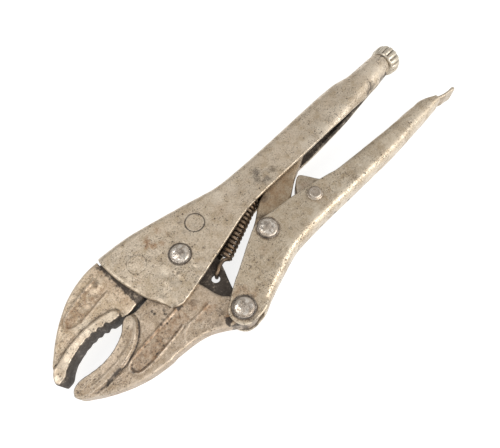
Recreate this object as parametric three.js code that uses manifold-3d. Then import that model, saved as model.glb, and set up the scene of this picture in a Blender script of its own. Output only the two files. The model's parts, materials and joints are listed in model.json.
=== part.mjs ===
// Curved-jaw locking pliers, modelled in millimetres.
// Working frame while modelling: jaw pivot axis at x = y = 0, mid-plane of the tool at z = 0,
// +X from the jaws to the handle ends, +Y towards the back of the upper handle.
// The finished group is shifted so that the origin is the bottom centre of the bounding box.
import * as THREE from 'three';
import Module from 'manifold-3d';

const wasm = await Module();
wasm.setup();
const { Manifold, CrossSection, Mesh } = wasm;

// ---------------------------------------------------------------- driving dimensions
const HALF_WIDTH = 7.5;          // outer half width of both pressed channels
const SHEET = 2.2;               // sheet thickness of both pressed channels
const GAP = 0.3;                 // side clearance between neighbouring parts
const JAW_HALF = HALF_WIDTH - SHEET - GAP;   // half thickness of the jaw plates
const LIP_HALF = 6.2;            // half thickness of the raised jaw lips
const LINK_HALF = 4.6;           // half thickness of the toggle link
const NOSE_HALF = 4.6;           // half thickness of the release lever nose
const BAR_HALF = 2.9;            // half width of the release lever bar
const TAIL_HALF = 5.0;           // half width of the release lever tail

const P = [0, 0];                // jaw pivot
const A = [3.0, -39.4];          // lower jaw to lower handle pivot
const B = [38.4, -20.2];         // toggle link pivot
const D = [68.2, -23.9];         // release lever pivot
const F1 = [-17.5, 10.6];        // front flush rivet
const F2 = [15.9, 7.0];          // rear flush rivet
const T = [95.5, 7.1];           // centre of the rounded link tip
const TIP_R = 2.8;               // radius of the link tip

const AXIS_Y = 7.1;              // height of the screw axis
const TUBE_R = 7.1;              // outer radius of the screw tube
const TUBE_END = 162.0;
const SHANK_R = 4.6;             // threaded shank, crest radius
const SCREW_NOSE_X = 100.4;
const NOSE_R = 3.4;
const KNOB_X0 = 162.3;
const KNOB_X1 = 171.0;
const FLUTES = 16;

const EAR_P = 8.9;               // ear radius of the lower jaw round the jaw pivot
const EAR_A = 7.0;               // ear radius of the lower jaw round the handle pivot
const TAB_HALF = 1.25;           // half thickness of the spring tab
const TAB_HOLE = [4.6, -18.8];
const HOLE_R = 2.1;

const SPRING_A = [15.5, -14.0];  // coil start, on the coil axis
const SPRING_B = [46.5, -1.85];  // coil end
const LUG_HOLE = [57.0, 2.6];    // hole in the lug inside the upper handle
const WIRE_R = 0.8;
const COIL_R = 2.75;             // mean coil radius
const COILS = 14;

const SHIFT = [-49.35, 10.35, 9.75];   // working frame to part frame

// ---------------------------------------------------------------- outlines
const FRAME_SIDE = [
  [-28.6, 27.5], [-29.3, 22.4], [-29.1, 15.8], [-28.3, 9.0], [-26.7, 1.8], [-25.2, -3.7],
  [-23.0, -8.8], [-21.2, -12.8], [-19.4, -16.6], [-17.2, -17.9], [-14.4, -18.5], [-10.9, -18.0],
  [-5.0, -16.7], [1.7, -15.2], [10.1, -13.0], [16.4, -11.5], [26.3, -8.9], [34.5, -6.9],
  [40.8, -5.8], [47.6, -5.3], [56.0, -5.0], [70.0, -4.9], [84.0, -4.8], [95.0, -8.0],
  [200.0, -12.0], [200.0, 30.0], [-28.0, 30.0],
];
const UPPER_JAW = [
  [-29.9, 26.2], [-34.5, 26.1], [-39.5, 25.4], [-44.8, 24.0], [-50.1, 21.8], [-55.8, 18.4],
  [-61.3, 14.3], [-65.6, 10.4], [-69.4, 6.3], [-72.5, 2.3], [-74.6, -1.2], [-75.9, -3.8],
  [-76.2, -5.4], [-75.0, -6.5], [-71.4, -6.2], [-69.2, -4.8], [-66.1, -2.9], [-62.0, -1.5],
  [-58.4, -0.5], [-55.1, -0.1], [-51.6, -0.2], [-48.6, -0.7], [-45.7, -1.2], [-42.5, -2.0],
  [-39.0, -2.2], [-37.9, -3.0], [-28.2, -2.7], [-9.3, -2.0],
  [-9.05, 1.9], [-8.2, 4.3], [-6.6, 6.5], [-4.2, 8.2], [-1.2, 9.17], [2.0, 9.05], [4.8, 7.9],
  [7.0, 6.05], [8.6, 3.4], [9.4, 0.6], [12.0, 0.4], [20.5, 0.6], [23.8, 3.4], [24.3, 9.0], [23.4, 14.9],
  [10.0, 18.1], [0.0, 20.4], [-12.0, 22.7], [-20.0, 23.5], [-29.9, 23.9],
];
const UPPER_LIP = [
  [-38.1, -1.9], [-37.7, 0.0], [-38.9, 2.3], [-41.5, 3.3], [-44.3, 3.9], [-51.1, 4.6],
  [-57.4, 4.3], [-64.2, 3.0], [-69.8, 0.9], [-74.4, -1.4], [-75.8, -3.8], [-76.1, -5.4],
  [-75.0, -6.4], [-71.4, -6.1], [-69.2, -4.7], [-66.1, -2.8], [-62.0, -1.4], [-58.4, -0.4],
  [-55.1, 0.0], [-51.6, -0.1], [-48.6, -0.6], [-45.7, -1.1], [-42.5, -1.9], [-39.4, -2.1],
];
const UPPER_TEETH = [-66.0, -62.4, -59.0, -55.6, -52.2, -48.9, -45.4];
const LOWER_JAW = [
  [-8.3, -3.2], [-16.0, -4.2], [-25.0, -4.9], [-34.2, -5.5], [-35.2, -4.8], [-37.0, -4.4],
  [-38.7, -4.9], [-40.3, -6.1], [-41.6, -7.6], [-43.6, -9.1], [-47.4, -11.0], [-52.3, -12.5],
  [-58.8, -13.0], [-63.9, -12.4], [-66.8, -11.9], [-70.0, -12.0], [-72.5, -13.2], [-73.5, -15.0],
  [-72.9, -16.6], [-71.4, -17.9], [-68.0, -20.4], [-63.3, -23.5], [-57.8, -26.4], [-51.7, -28.9],
  [-45.8, -30.7], [-40.3, -31.7], [-34.4, -32.4], [-28.4, -33.0], [-22.2, -33.8], [-16.8, -35.1],
  [-13.3, -36.5], [-9.3, -38.9], [-6.1, -41.1], [-1.8, -44.4], [0.0, -45.5], [4.0, -44.0],
  [6.5, -38.0], [4.6, -33.8], [2.8, -30.4], [0.4, -27.6], [-0.7, -25.2], [-2.0, -19.6],
  [-3.0, -15.2], [-1.0, -12.0], [5.5, -6.6], [0.0, 0.0],
];
const LOWER_LIP = [
  [-34.9, -5.3], [-37.0, -4.5], [-38.7, -5.0], [-40.3, -6.2], [-41.6, -7.7], [-43.6, -9.2],
  [-47.4, -11.1], [-52.3, -12.6], [-58.8, -13.1], [-63.9, -12.5], [-66.8, -12.0], [-70.0, -12.1],
  [-72.4, -13.3], [-73.4, -15.0], [-72.8, -16.6], [-70.6, -18.3], [-66.0, -19.3], [-59.0, -19.7],
  [-53.2, -19.6], [-45.9, -17.9], [-40.5, -15.0], [-36.4, -10.8], [-34.9, -8.0],
];
const LOWER_TEETH = [-64.0, -60.4, -56.8, -53.2, -49.7, -46.3, -43.4];
const TAB = [
  [-4.0, -14.0], [0.0, -6.0], [6.0, -4.0], [10.5, -6.0], [12.4, -9.5], [12.2, -13.3],
  [10.6, -18.4], [8.8, -22.8], [7.0, -27.6], [5.8, -31.6], [3.0, -35.0], [-2.0, -30.0],
];
const HANDLE_SIDE = [
  [0.9, -32.4], [6.9, -28.6], [14.5, -24.6], [19.7, -21.9], [24.7, -19.2], [28.9, -17.1],
  [33.3, -15.0], [36.8, -14.0], [39.9, -14.0], [43.0, -14.5], [49.7, -15.4], [56.9, -16.1],
  [62.0, -17.0], [68.0, -18.0], [74.0, -19.1], [80.7, -20.6], [88.0, -22.2], [95.0, -21.0],
  [151.5, -21.0], [153.5, -26.2], [156.6, -30.2], [158.0, -33.2], [158.0, -55.0], [9.0, -55.0],
  [7.0, -45.9], [3.0, -47.0], [-1.0, -45.9], [-3.7, -43.1], [-4.6, -39.4], [-3.9, -36.1],
];
const LINK = [
  [36.2, -27.4], [41.5, -27.0], [50.0, -21.5], [61.1, -15.0], [65.6, -12.1], [70.5, -9.0],
  [78.3, -5.4], [86.0, -1.6], [92.0, 2.3], [95.4, 4.3], [97.6, 5.3], [98.3, 7.1],
  [97.5, 9.1], [95.5, 9.9], [88.0, 8.3], [76.0, 4.2], [62.0, -0.9], [52.5, -4.0], [47.2, -6.1],
  [38.0, -12.1], [33.0, -15.3], [30.9, -18.6], [30.9, -22.2], [32.8, -25.6],
];
const LEVER_NOSE = [
  [62.2, -19.0], [65.7, -13.8], [68.4, -11.4], [70.7, -10.1], [72.1, -9.9], [73.2, -10.9],
  [74.7, -13.2], [76.4, -16.2], [78.3, -19.2], [82.0, -22.6], [88.0, -25.6], [88.0, -29.6],
  [74.0, -30.4], [66.0, -29.6], [62.4, -26.0],
];
const LEVER_BAR = [
  [80.0, -24.5], [90.0, -25.6], [150.0, -25.2], [155.0, -25.9], [158.0, -27.1], [161.0, -29.3],
  [164.0, -31.3], [167.0, -32.3], [170.5, -32.8], [174.3, -33.1], [175.0, -33.8], [174.3, -34.6],
  [170.0, -34.4], [166.0, -33.9], [162.6, -32.6], [159.4, -30.6], [156.6, -28.6], [153.0, -27.6],
  [149.0, -28.6], [130.0, -30.0], [90.0, -30.2], [80.0, -29.8],
];
const LEVER_PLAN = [
  [79.0, BAR_HALF], [156.0, BAR_HALF], [160.0, 3.6], [164.0, 4.7], [168.0, TAIL_HALF], [173.4, TAIL_HALF], [175.4, 3.6],
];
const LUG = [
  [52.6, 12.6], [53.4, 0.0], [56.0, -1.0], [58.0, -1.0], [60.6, 0.4], [61.4, 12.6],
];

// Channel stations: x, back, edge of the flanks, half width, radius at the back,
// radius and wrap angle (degrees) of the flanks' inward curl.
const FRAME_STATIONS = [
  [-31.0, 26.5, -22.0, 7.5, 3.2, 4.0, 2], [-24.0, 26.3, -22.0, 7.5, 3.2, 4.0, 2],
  [-12.8, 25.4, -22.0, 7.5, 3.2, 4.0, 2], [0.0, 23.0, -22.0, 7.5, 3.2, 4.0, 2],
  [11.0, 20.6, -20.0, 7.5, 3.2, 4.0, 2], [22.0, 18.1, -18.0, 7.5, 3.2, 4.0, 2],
  [29.0, 16.3, -15.0, 7.5, 3.2, 4.0, 2], [36.0, 14.8, -12.0, 7.5, 3.3, 4.0, 2],
  [44.0, 14.1, -9.0, 7.5, 3.3, 4.0, 2], [60.0, 14.0, -7.0, 7.5, 3.5, 4.0, 2],
  [75.0, 14.3, -6.0, 7.5, 3.8, 4.5, 3], [88.0, 14.7, -4.8, 7.5, 4.2, 5.0, 8],
  [96.0, 15.1, -4.7, 7.5, 4.6, 5.5, 20], [103.0, 15.4, -4.6, 7.5, 5.0, 5.8, 36],
  [112.0, 15.8, -4.5, 7.5, 5.6, 6.2, 48], [121.0, 16.1, -4.1, 7.45, 6.2, 6.5, 58],
  [128.0, 16.0, -3.4, 7.35, 6.6, 6.7, 68], [134.0, 15.2, -2.4, 7.25, 6.9, 6.9, 78],
  [139.0, 14.5, -1.1, 7.15, 7.0, 7.0, 84], [143.0, 14.2, 0.0, 7.15, 7.1, 7.1, 87],
  [162.0, 14.2, 0.0, 7.15, 7.1, 7.1, 87],
];
// The lower handle's rows give the web (back) and flank edges as distances towards -Y.
const HANDLE_STATIONS = [
  [-6.0, 50.6, 8.0, 7.5, 4.0, 4.0, 2], [9.9, 47.0, 10.0, 7.5, 4.0, 4.0, 2],
  [16.0, 44.5, 12.0, 7.5, 4.0, 4.0, 2], [23.3, 42.0, 12.0, 7.5, 4.0, 4.0, 2],
  [33.8, 38.8, 12.0, 7.5, 4.0, 4.0, 2], [39.5, 37.2, 12.0, 7.5, 4.0, 4.0, 2],
  [45.0, 36.2, 12.0, 7.5, 4.0, 4.0, 2], [55.0, 35.8, 13.0, 7.5, 4.0, 4.0, 2],
  [66.0, 35.7, 15.0, 7.5, 4.0, 4.0, 2], [80.0, 35.9, 18.0, 7.5, 4.0, 4.0, 2],
  [90.0, 36.0, 22.4, 7.5, 4.0, 4.0, 8], [97.0, 36.1, 22.6, 7.5, 4.0, 4.0, 30],
  [105.0, 36.2, 22.8, 7.5, 4.2, 4.2, 50], [117.0, 36.3, 23.4, 7.5, 4.4, 4.4, 62],
  [130.0, 35.9, 24.1, 7.5, 4.6, 4.6, 68], [140.0, 35.3, 24.6, 7.4, 4.6, 4.6, 70],
  [149.0, 34.7, 24.9, 7.2, 4.4, 4.4, 70], [158.5, 33.9, 25.4, 6.8, 3.9, 3.9, 68],
];

// ---------------------------------------------------------------- helpers
// Outline with its points in counter-clockwise order.
function clockless(pts) {
  let a = 0;
  for (let i = 0; i < pts.length; i++) {
    const [x0, y0] = pts[i], [x1, y1] = pts[(i + 1) % pts.length];
    a += x0 * y1 - x1 * y0;
  }
  return a < 0 ? pts.slice().reverse() : pts;
}
const section = (pts) => CrossSection.ofPolygons([clockless(pts)]);
const slab = (pts, z0, z1) => section(pts).extrude(z1 - z0).translate([0, 0, z0]);
const drum = (c, r, z0, z1, n = 32, r1 = r) => Manifold.cylinder(z1 - z0, r, r1, n).translate([c[0], c[1], z0]);
const union = (...m) => m.reduce((a, b) => a.add(b));

function solid(verts, tris) {
  let v6 = 0;
  for (const [a, b, c] of tris) {
    const p = verts[a], q = verts[b], r = verts[c];
    v6 += p[0] * (q[1] * r[2] - q[2] * r[1]) + p[1] * (q[2] * r[0] - q[0] * r[2]) + p[2] * (q[0] * r[1] - q[1] * r[0]);
  }
  const t = v6 < 0 ? tris.map(([a, b, c]) => [a, c, b]) : tris;
  return new Manifold(new Mesh({
    numProp: 3,
    vertProperties: Float32Array.from(verts.flat()),
    triVerts: Uint32Array.from(t.flat()),
  }));
}

// Pressed channel lofted through its stations; sign -1 puts the back at -Y.
function channel(rows, sign, nTop = 5, nLow = 4) {
  const verts = [], tris = [];
  let m = 0;
  for (const [x, top, edge, hw, rt, rb, deg] of rows) {
    const g = THREE.MathUtils.degToRad(deg);
    const yArc = edge + rb * Math.sin(g);
    const half = [];
    for (let i = 0; i <= nLow; i++) {
      const a = g * (1 - i / nLow);
      half.push([yArc - rb * Math.sin(a), hw - rb + rb * Math.cos(a), yArc - (rb - SHEET) * Math.sin(a), hw - rb + (rb - SHEET) * Math.cos(a)]);
    }
    for (let i = 0; i <= nTop; i++) {
      const b = (Math.PI / 2) * (i / nTop);
      half.push([top - rt + rt * Math.sin(b), hw - rt + rt * Math.cos(b), top - rt + (rt - SHEET) * Math.sin(b), hw - rt + (rt - SHEET) * Math.cos(b)]);
    }
    const full = [...half, ...half.slice().reverse().map(([a, b, c, d]) => [a, -b, c, -d])];
    m = full.length;
    for (const [yo, zo] of full) verts.push([x, sign * yo, zo]);
    for (const [, , yi, zi] of full) verts.push([x, sign * yi, zi]);
  }
  const n = rows.length, w = 2 * m;
  const quad = (a, b, c, d) => { tris.push([a, b, c], [a, c, d]); };
  for (let s = 0; s < n - 1; s++) {
    const o = s * w, q = (s + 1) * w;
    for (let i = 0; i < m - 1; i++) {
      quad(o + i, q + i, q + i + 1, o + i + 1);
      quad(o + m + i + 1, q + m + i + 1, q + m + i, o + m + i);
    }
    quad(o + m, q + m, q, o);
    quad(o + m - 1, q + m - 1, q + 2 * m - 1, o + 2 * m - 1);
  }
  for (let i = 0; i < m - 1; i++) {
    quad(i, i + 1, m + i + 1, m + i);
    const e = (n - 1) * w;
    quad(e + m + i, e + m + i + 1, e + i + 1, e + i);
  }
  return solid(verts, tris);
}

// Round bar of radius r along a list of points, closed at both ends.
function rod(path, r, sides = 6) {
  const verts = [], tris = [];
  const pts = path.map((p) => new THREE.Vector3(...p));
  let normal = null;
  pts.forEach((p, i) => {
    const t = new THREE.Vector3().subVectors(pts[Math.min(i + 1, pts.length - 1)], pts[Math.max(i - 1, 0)]).normalize();
    if (!normal) {
      normal = new THREE.Vector3(0, 0, 1);
      if (Math.abs(t.z) > 0.9) normal.set(1, 0, 0);
    }
    normal.addScaledVector(t, -normal.dot(t)).normalize();
    const bi = new THREE.Vector3().crossVectors(t, normal);
    for (let k = 0; k < sides; k++) {
      const a = (2 * Math.PI * k) / sides;
      const v = p.clone().addScaledVector(normal, r * Math.cos(a)).addScaledVector(bi, r * Math.sin(a));
      verts.push([v.x, v.y, v.z]);
    }
  });
  const n = pts.length;
  for (let i = 0; i < n - 1; i++) {
    for (let k = 0; k < sides; k++) {
      const a = i * sides + k, b = i * sides + ((k + 1) % sides), c = a + sides, d = b + sides;
      tris.push([a, b, d], [a, d, c]);
    }
  }
  for (let k = 1; k < sides - 1; k++) {
    tris.push([0, k + 1, k]);
    const e = (n - 1) * sides;
    tris.push([e, e + k, e + k + 1]);
  }
  return solid(verts, tris);
}

// Body of revolution about the X direction through (y, z) = (AXIS_Y, 0).
function turned(profile, n) {
  const pts = clockless(profile);
  return CrossSection.ofPolygons([pts]).revolve(n)
    .rotate([0, 90, 0]).translate([0, AXIS_Y, 0]);
}

// ---------------------------------------------------------------- upper handle
const frameShell = channel(FRAME_STATIONS, 1);
let frame = frameShell.intersect(slab(FRAME_SIDE, -12, 12));
frame = frame.subtract(drum(P, 4.3, -12, 12));
frame = frame.subtract(union(drum(F1, 4.9, -12, 12, 28), drum(F2, 4.9, -12, 12, 28)));
frame = frame.add(slab(LUG, -1.1, 1.1).subtract(drum(LUG_HOLE, 2.2, -3, 3, 20)));

// ---------------------------------------------------------------- jaws
function teeth(xs, line, depth, up) {
  const cuts = [];
  for (const x of xs) {
    let y = line[0][1];
    for (let i = 0; i < line.length - 1; i++) {
      const [x0, y0] = line[i], [x1, y1] = line[i + 1];
      if ((x - x0) * (x - x1) <= 0) y = y0 + ((y1 - y0) * (x - x0)) / (x1 - x0);
    }
    cuts.push(slab([[x - 1.25, y - up * 0.6], [x - 0.35, y + up * depth], [x + 0.35, y + up * depth], [x + 1.25, y - up * 0.6]], -9, 9));
  }
  return union(...cuts);
}
const upperEdge = UPPER_JAW.slice(13, 25), lowerEdge = LOWER_JAW.slice(6, 17);
let upperJaw = union(slab(UPPER_JAW, -JAW_HALF, JAW_HALF), slab(UPPER_LIP, -LIP_HALF, LIP_HALF));
upperJaw = upperJaw.subtract(teeth(UPPER_TEETH, upperEdge, 0.9, 1));
upperJaw = upperJaw.subtract(union(drum(F1, 3.45, -9, 9, 24), drum(F2, 3.45, -9, 9, 24)));

let lowerJaw = union(
  slab(LOWER_JAW, -JAW_HALF, JAW_HALF), slab(LOWER_LIP, -LIP_HALF, LIP_HALF),
  drum(P, EAR_P, -JAW_HALF, JAW_HALF, 40), drum(A, EAR_A, -JAW_HALF, JAW_HALF, 36),
  slab(TAB, -TAB_HALF, TAB_HALF),
);
lowerJaw = lowerJaw.subtract(teeth(LOWER_TEETH, lowerEdge, 0.7, -1).intersect(slab([[-80, -30], [-30, -30], [-30, 0], [-80, 0]], -5.2, 5.2)));
lowerJaw = lowerJaw.subtract(union(drum(P, 4.3, -9, 9), drum(A, 3.35, -9, 9, 28), drum(TAB_HOLE, HOLE_R, -9, 9, 20)));

// ---------------------------------------------------------------- rivets
function pivotRivet(c, shank, flange, dome, height, n = 26) {
  const z = HALF_WIDTH + GAP;
  const head = (s) => {
    const rings = [[flange, 0], [flange, 0.45], [dome, 0.6], [dome * 0.88, 0.6 + (height - 0.6) * 0.6], [dome * 0.5, height], [0, height]];
    const prof = [[0, 0], ...rings];
    const m = CrossSection.ofPolygons([clockless(prof)]).revolve(n);
    return s > 0 ? m.translate([c[0], c[1], z]) : m.rotate([180, 0, 0]).translate([c[0], c[1], -z]);
  };
  return union(drum(c, shank, -z - 0.1, z + 0.1, n), head(1), head(-1));
}
const flushRivet = (c) => union(
  drum(c, 3.2, -7, 7, 24), drum(c, 4.6, JAW_HALF + GAP, HALF_WIDTH + 0.05, 28), drum(c, 4.6, -HALF_WIDTH - 0.05, -JAW_HALF - GAP, 28));
const jawRivet = pivotRivet(P, 4.0, 4.9, 4.3, 1.95);
const handleRivet = pivotRivet(A, 3.1, 5.6, 4.2, 1.95);
const linkRivet = pivotRivet(B, 3.1, 5.6, 4.2, 1.95);
const leverRivet = (() => {
  const z = HALF_WIDTH + GAP;
  const prof = [[0, 0], [3.9, 0], [3.9, 0.5], [3.4, 1.2], [2.5, 1.6], [0, 1.6]];
  const m = CrossSection.ofPolygons([clockless(prof)]).revolve(28);
  return union(drum(D, 2.4, -z - 0.1, z + 0.1, 24), m.translate([D[0], D[1], z]), m.rotate([180, 0, 0]).translate([D[0], D[1], -z]));
})();

// ---------------------------------------------------------------- lower handle
let handle = channel(HANDLE_STATIONS, -1).intersect(slab(HANDLE_SIDE, -12, 12));
const inner = HALF_WIDTH - SHEET;
handle = handle.subtract(slab([[-10, -60], [10.2, -60], [10.2, 0], [-10, 0]], -inner, inner));
handle = handle.subtract(union(drum(A, 3.35, -12, 12, 28), drum(B, 3.35, -12, 12, 28), drum(D, 2.65, -12, 12, 24)));

// ---------------------------------------------------------------- link and release lever
const link = slab(LINK, -LINK_HALF, LINK_HALF).subtract(drum(B, 3.35, -9, 9, 28));
const planHalf = LEVER_PLAN.map(([x, z]) => [x, z]);
const plan = [...planHalf, ...planHalf.slice().reverse().map(([x, z]) => [x, -z])];
// the plan outline lies in X and Z: extrude along Y by turning the slab about X
const planSolid = slab(plan, -40, 60).rotate([90, 0, 0]).translate([0, 10, 0]);
let lever = slab(LEVER_BAR, -TAIL_HALF, TAIL_HALF).intersect(planSolid);
lever = lever.add(slab(LEVER_NOSE, -NOSE_HALF, NOSE_HALF)).subtract(drum(D, 2.65, -9, 9, 24));

// ---------------------------------------------------------------- adjusting screw
let screw = turned([[0, 108.3], [3.9, 108.3], [SHANK_R, 109.2], [SHANK_R, KNOB_X0 + 0.2], [7.0, KNOB_X0], [7.4, KNOB_X0 + 0.3],
  [8.2, 163.9], [8.7, 166.4], [8.3, 169.0], [6.2, KNOB_X1], [0, KNOB_X1]], 48);
const flutes = [];
for (let i = 0; i < FLUTES; i++) {
  const a = (2 * Math.PI * i) / FLUTES;
  const r = 9.0;
  flutes.push(Manifold.cylinder(9.0, 0.85, 0.85, 8).rotate([0, 90, 0]).translate([163.6, AXIS_Y + r * Math.cos(a), r * Math.sin(a)]));
}
screw = screw.subtract(union(...flutes));
const screwNose = turned([[0, SCREW_NOSE_X], [2.6, SCREW_NOSE_X], [NOSE_R, SCREW_NOSE_X + 0.8], [NOSE_R, 108.0], [0, 108.0]], 24);

// ---------------------------------------------------------------- spring
function springPath() {
  const a = new THREE.Vector3(SPRING_A[0], SPRING_A[1], 0), b = new THREE.Vector3(SPRING_B[0], SPRING_B[1], 0);
  const u = new THREE.Vector3().subVectors(b, a), len = u.length();
  u.normalize();
  const v = new THREE.Vector3(-u.y, u.x, 0), w = new THREE.Vector3(0, 0, 1);
  const pts = [];
  const at = (s, p, q) => { const k = a.clone().addScaledVector(u, s).addScaledVector(v, p).addScaledVector(w, q); return [k.x, k.y, k.z]; };
  const h1 = new THREE.Vector3(TAB_HOLE[0], TAB_HOLE[1], 0).sub(a), h2 = new THREE.Vector3(LUG_HOLE[0], LUG_HOLE[1], 0).sub(a);
  const s1 = h1.dot(u), p1 = h1.dot(v), s2 = h2.dot(u), p2 = h2.dot(v);
  // front hook: through the tab hole, round to the coil
  pts.push(at(s1 + 0.2, p1 - 0.2, -2.9), at(s1 + 0.2, p1 - 0.2, 0), at(s1 + 0.4, p1 - 0.1, 2.3), at(s1 + 2.2, p1 * 0.7, 3.1), at(s1 + 4.6, 0.2, 2.9), at(-3.4, -0.2, 2.4), at(-1.4, -1.2, 1.6));
  const steps = COILS * 9;
  for (let i = 0; i <= steps; i++) {
    const f = i / steps, ang = -Math.PI / 2 + f * COILS * 2 * Math.PI;
    pts.push(at(f * len, COIL_R * Math.sin(ang), COIL_R * Math.cos(ang)));
  }
  pts.push(at(len + 1.6, -1.4, 1.4), at(len + 3.4, -0.3, 2.3), at(s2 - 2.6, p2 * 0.7, 3.0), at(s2 - 0.5, p2 + 0.1, 2.3), at(s2 - 0.2, p2 + 0.1, 0), at(s2 - 0.2, p2 + 0.1, -2.9));
  return pts;
}
const spring = rod(springPath(), WIRE_R, 6);

// ---------------------------------------------------------------- assembly
const MATERIALS = {
  frame: [0x9c8c78, 0.85, 0.42], jaw: [0x94826c, 0.85, 0.5], handle: [0xa09079, 0.85, 0.4],
  link: [0x84705a, 0.8, 0.5], lever: [0xa2927c, 0.85, 0.4], rivet: [0xa89a88, 0.9, 0.35],
  screw: [0xb0a28c, 0.9, 0.32], spring: [0x3c332e, 0.7, 0.55],
};
const parts = [
  ['upper_handle_frame', frame, 'frame'], ['upper_jaw', upperJaw, 'jaw'],
  ['front_jaw_rivet', flushRivet(F1), 'rivet'], ['rear_jaw_rivet', flushRivet(F2), 'rivet'],
  ['jaw_pivot_rivet', jawRivet, 'rivet'], ['lower_jaw', lowerJaw, 'jaw'],
  ['lower_handle', handle, 'handle'], ['handle_pivot_rivet', handleRivet, 'rivet'],
  ['toggle_link', link, 'link'], ['link_pivot_rivet', linkRivet, 'rivet'],
  ['release_lever', lever, 'lever'], ['release_lever_rivet', leverRivet, 'rivet'],
  ['adjusting_screw', screw, 'screw'], ['screw_nose', screwNose, 'screw'],
  ['tension_spring', spring, 'spring'],
];

const group = new THREE.Group();
group.name = 'locking_pliers';
for (const [name, body, slot] of parts) {
  const mesh = body.translate(SHIFT).getMesh();
  const pos = new Float32Array(mesh.numVert * 3);
  for (let i = 0; i < mesh.numVert; i++) {
    for (let k = 0; k < 3; k++) pos[3 * i + k] = mesh.vertProperties[i * mesh.numProp + k];
  }
  const geo = new THREE.BufferGeometry();
  geo.setAttribute('position', new THREE.BufferAttribute(pos, 3));
  geo.setIndex(new THREE.BufferAttribute(Uint32Array.from(mesh.triVerts), 1));
  geo.computeVertexNormals();
  const [color, metalness, roughness] = MATERIALS[slot];
  const m = new THREE.Mesh(geo, new THREE.MeshStandardMaterial({ color, metalness, roughness, name: slot }));
  m.name = name;
  group.add(m);
}
export default group;
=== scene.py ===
"""Looks of the locking pliers: forged jaws, pressed channels, link, lever, screw, spring and rivets in worn nickel plate."""
import json
import math

import bmesh
import bpy
import numpy as np
from mathutils import Matrix, Vector, noise
from mathutils.geometry import delaunay_2d_cdt


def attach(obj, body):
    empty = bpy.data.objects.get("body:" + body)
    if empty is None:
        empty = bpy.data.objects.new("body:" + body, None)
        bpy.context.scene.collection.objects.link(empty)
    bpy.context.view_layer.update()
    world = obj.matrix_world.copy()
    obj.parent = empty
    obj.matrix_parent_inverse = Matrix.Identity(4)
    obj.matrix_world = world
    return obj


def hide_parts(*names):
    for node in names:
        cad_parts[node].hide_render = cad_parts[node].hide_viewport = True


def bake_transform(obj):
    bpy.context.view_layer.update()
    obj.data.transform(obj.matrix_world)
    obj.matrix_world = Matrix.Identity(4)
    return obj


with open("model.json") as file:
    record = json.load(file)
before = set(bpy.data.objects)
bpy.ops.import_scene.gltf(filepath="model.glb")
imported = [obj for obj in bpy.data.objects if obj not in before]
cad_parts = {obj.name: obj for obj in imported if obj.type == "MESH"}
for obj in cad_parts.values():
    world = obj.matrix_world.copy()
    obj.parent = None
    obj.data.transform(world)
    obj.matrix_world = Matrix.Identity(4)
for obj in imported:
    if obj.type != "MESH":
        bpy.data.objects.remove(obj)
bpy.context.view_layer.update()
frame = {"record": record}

# ---------------------------------------------------------------- outlines and stations, in millimetres of the working frame
FRAME_SIDE = [
  [-28.6, 27.5], [-29.3, 22.4], [-29.1, 15.8], [-28.3, 9.0], [-26.7, 1.8], [-25.2, -3.7],
  [-23.0, -8.8], [-21.2, -12.8], [-19.4, -16.6], [-17.2, -17.9], [-14.4, -18.5], [-10.9, -18.0],
  [-5.0, -16.7], [1.7, -15.2], [10.1, -13.0], [16.4, -11.5], [26.3, -8.9], [34.5, -6.9],
  [40.8, -5.8], [47.6, -5.3], [56.0, -5.0], [70.0, -4.9], [84.0, -4.8], [95.0, -8.0],
  [200.0, -12.0], [200.0, 30.0], [-28.0, 30.0],
]
UPPER_JAW = [
  [-29.9, 26.2], [-34.5, 26.1], [-39.5, 25.4], [-44.8, 24.0], [-50.1, 21.8], [-55.8, 18.4],
  [-61.3, 14.3], [-65.6, 10.4], [-69.4, 6.3], [-72.5, 2.3], [-74.6, -1.2], [-75.9, -3.8],
  [-76.2, -5.4], [-75.0, -6.5], [-71.4, -6.2], [-69.2, -4.8], [-66.1, -2.9], [-62.0, -1.5],
  [-58.4, -0.5], [-55.1, -0.1], [-51.6, -0.2], [-48.6, -0.7], [-45.7, -1.2], [-42.5, -2.0],
  [-39.0, -2.2], [-37.9, -3.0], [-28.2, -2.7], [-9.3, -2.0],
  [-9.05, 1.9], [-8.2, 4.3], [-6.6, 6.5], [-4.2, 8.2], [-1.2, 9.17], [2.0, 9.05], [4.8, 7.9],
  [7.0, 6.05], [8.6, 3.4], [9.4, 0.6], [12.0, 0.4], [20.5, 0.6], [23.8, 3.4], [24.3, 9.0], [23.4, 14.9],
  [10.0, 18.1], [0.0, 20.4], [-12.0, 22.7], [-20.0, 23.5], [-29.9, 23.9],
]
UPPER_LIP = [
  [-38.1, -1.9], [-37.7, 0.0], [-38.9, 2.3], [-41.5, 3.3], [-44.3, 3.9], [-51.1, 4.6],
  [-57.4, 4.3], [-64.2, 3.0], [-69.8, 0.9], [-74.4, -1.4], [-75.8, -3.8], [-76.1, -5.4],
  [-75.0, -6.4], [-71.4, -6.1], [-69.2, -4.7], [-66.1, -2.8], [-62.0, -1.4], [-58.4, -0.4],
  [-55.1, 0.0], [-51.6, -0.1], [-48.6, -0.6], [-45.7, -1.1], [-42.5, -1.9], [-39.4, -2.1],
]
UPPER_TEETH = [-66.0, -62.4, -59.0, -55.6, -52.2, -48.9, -45.4]
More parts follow.
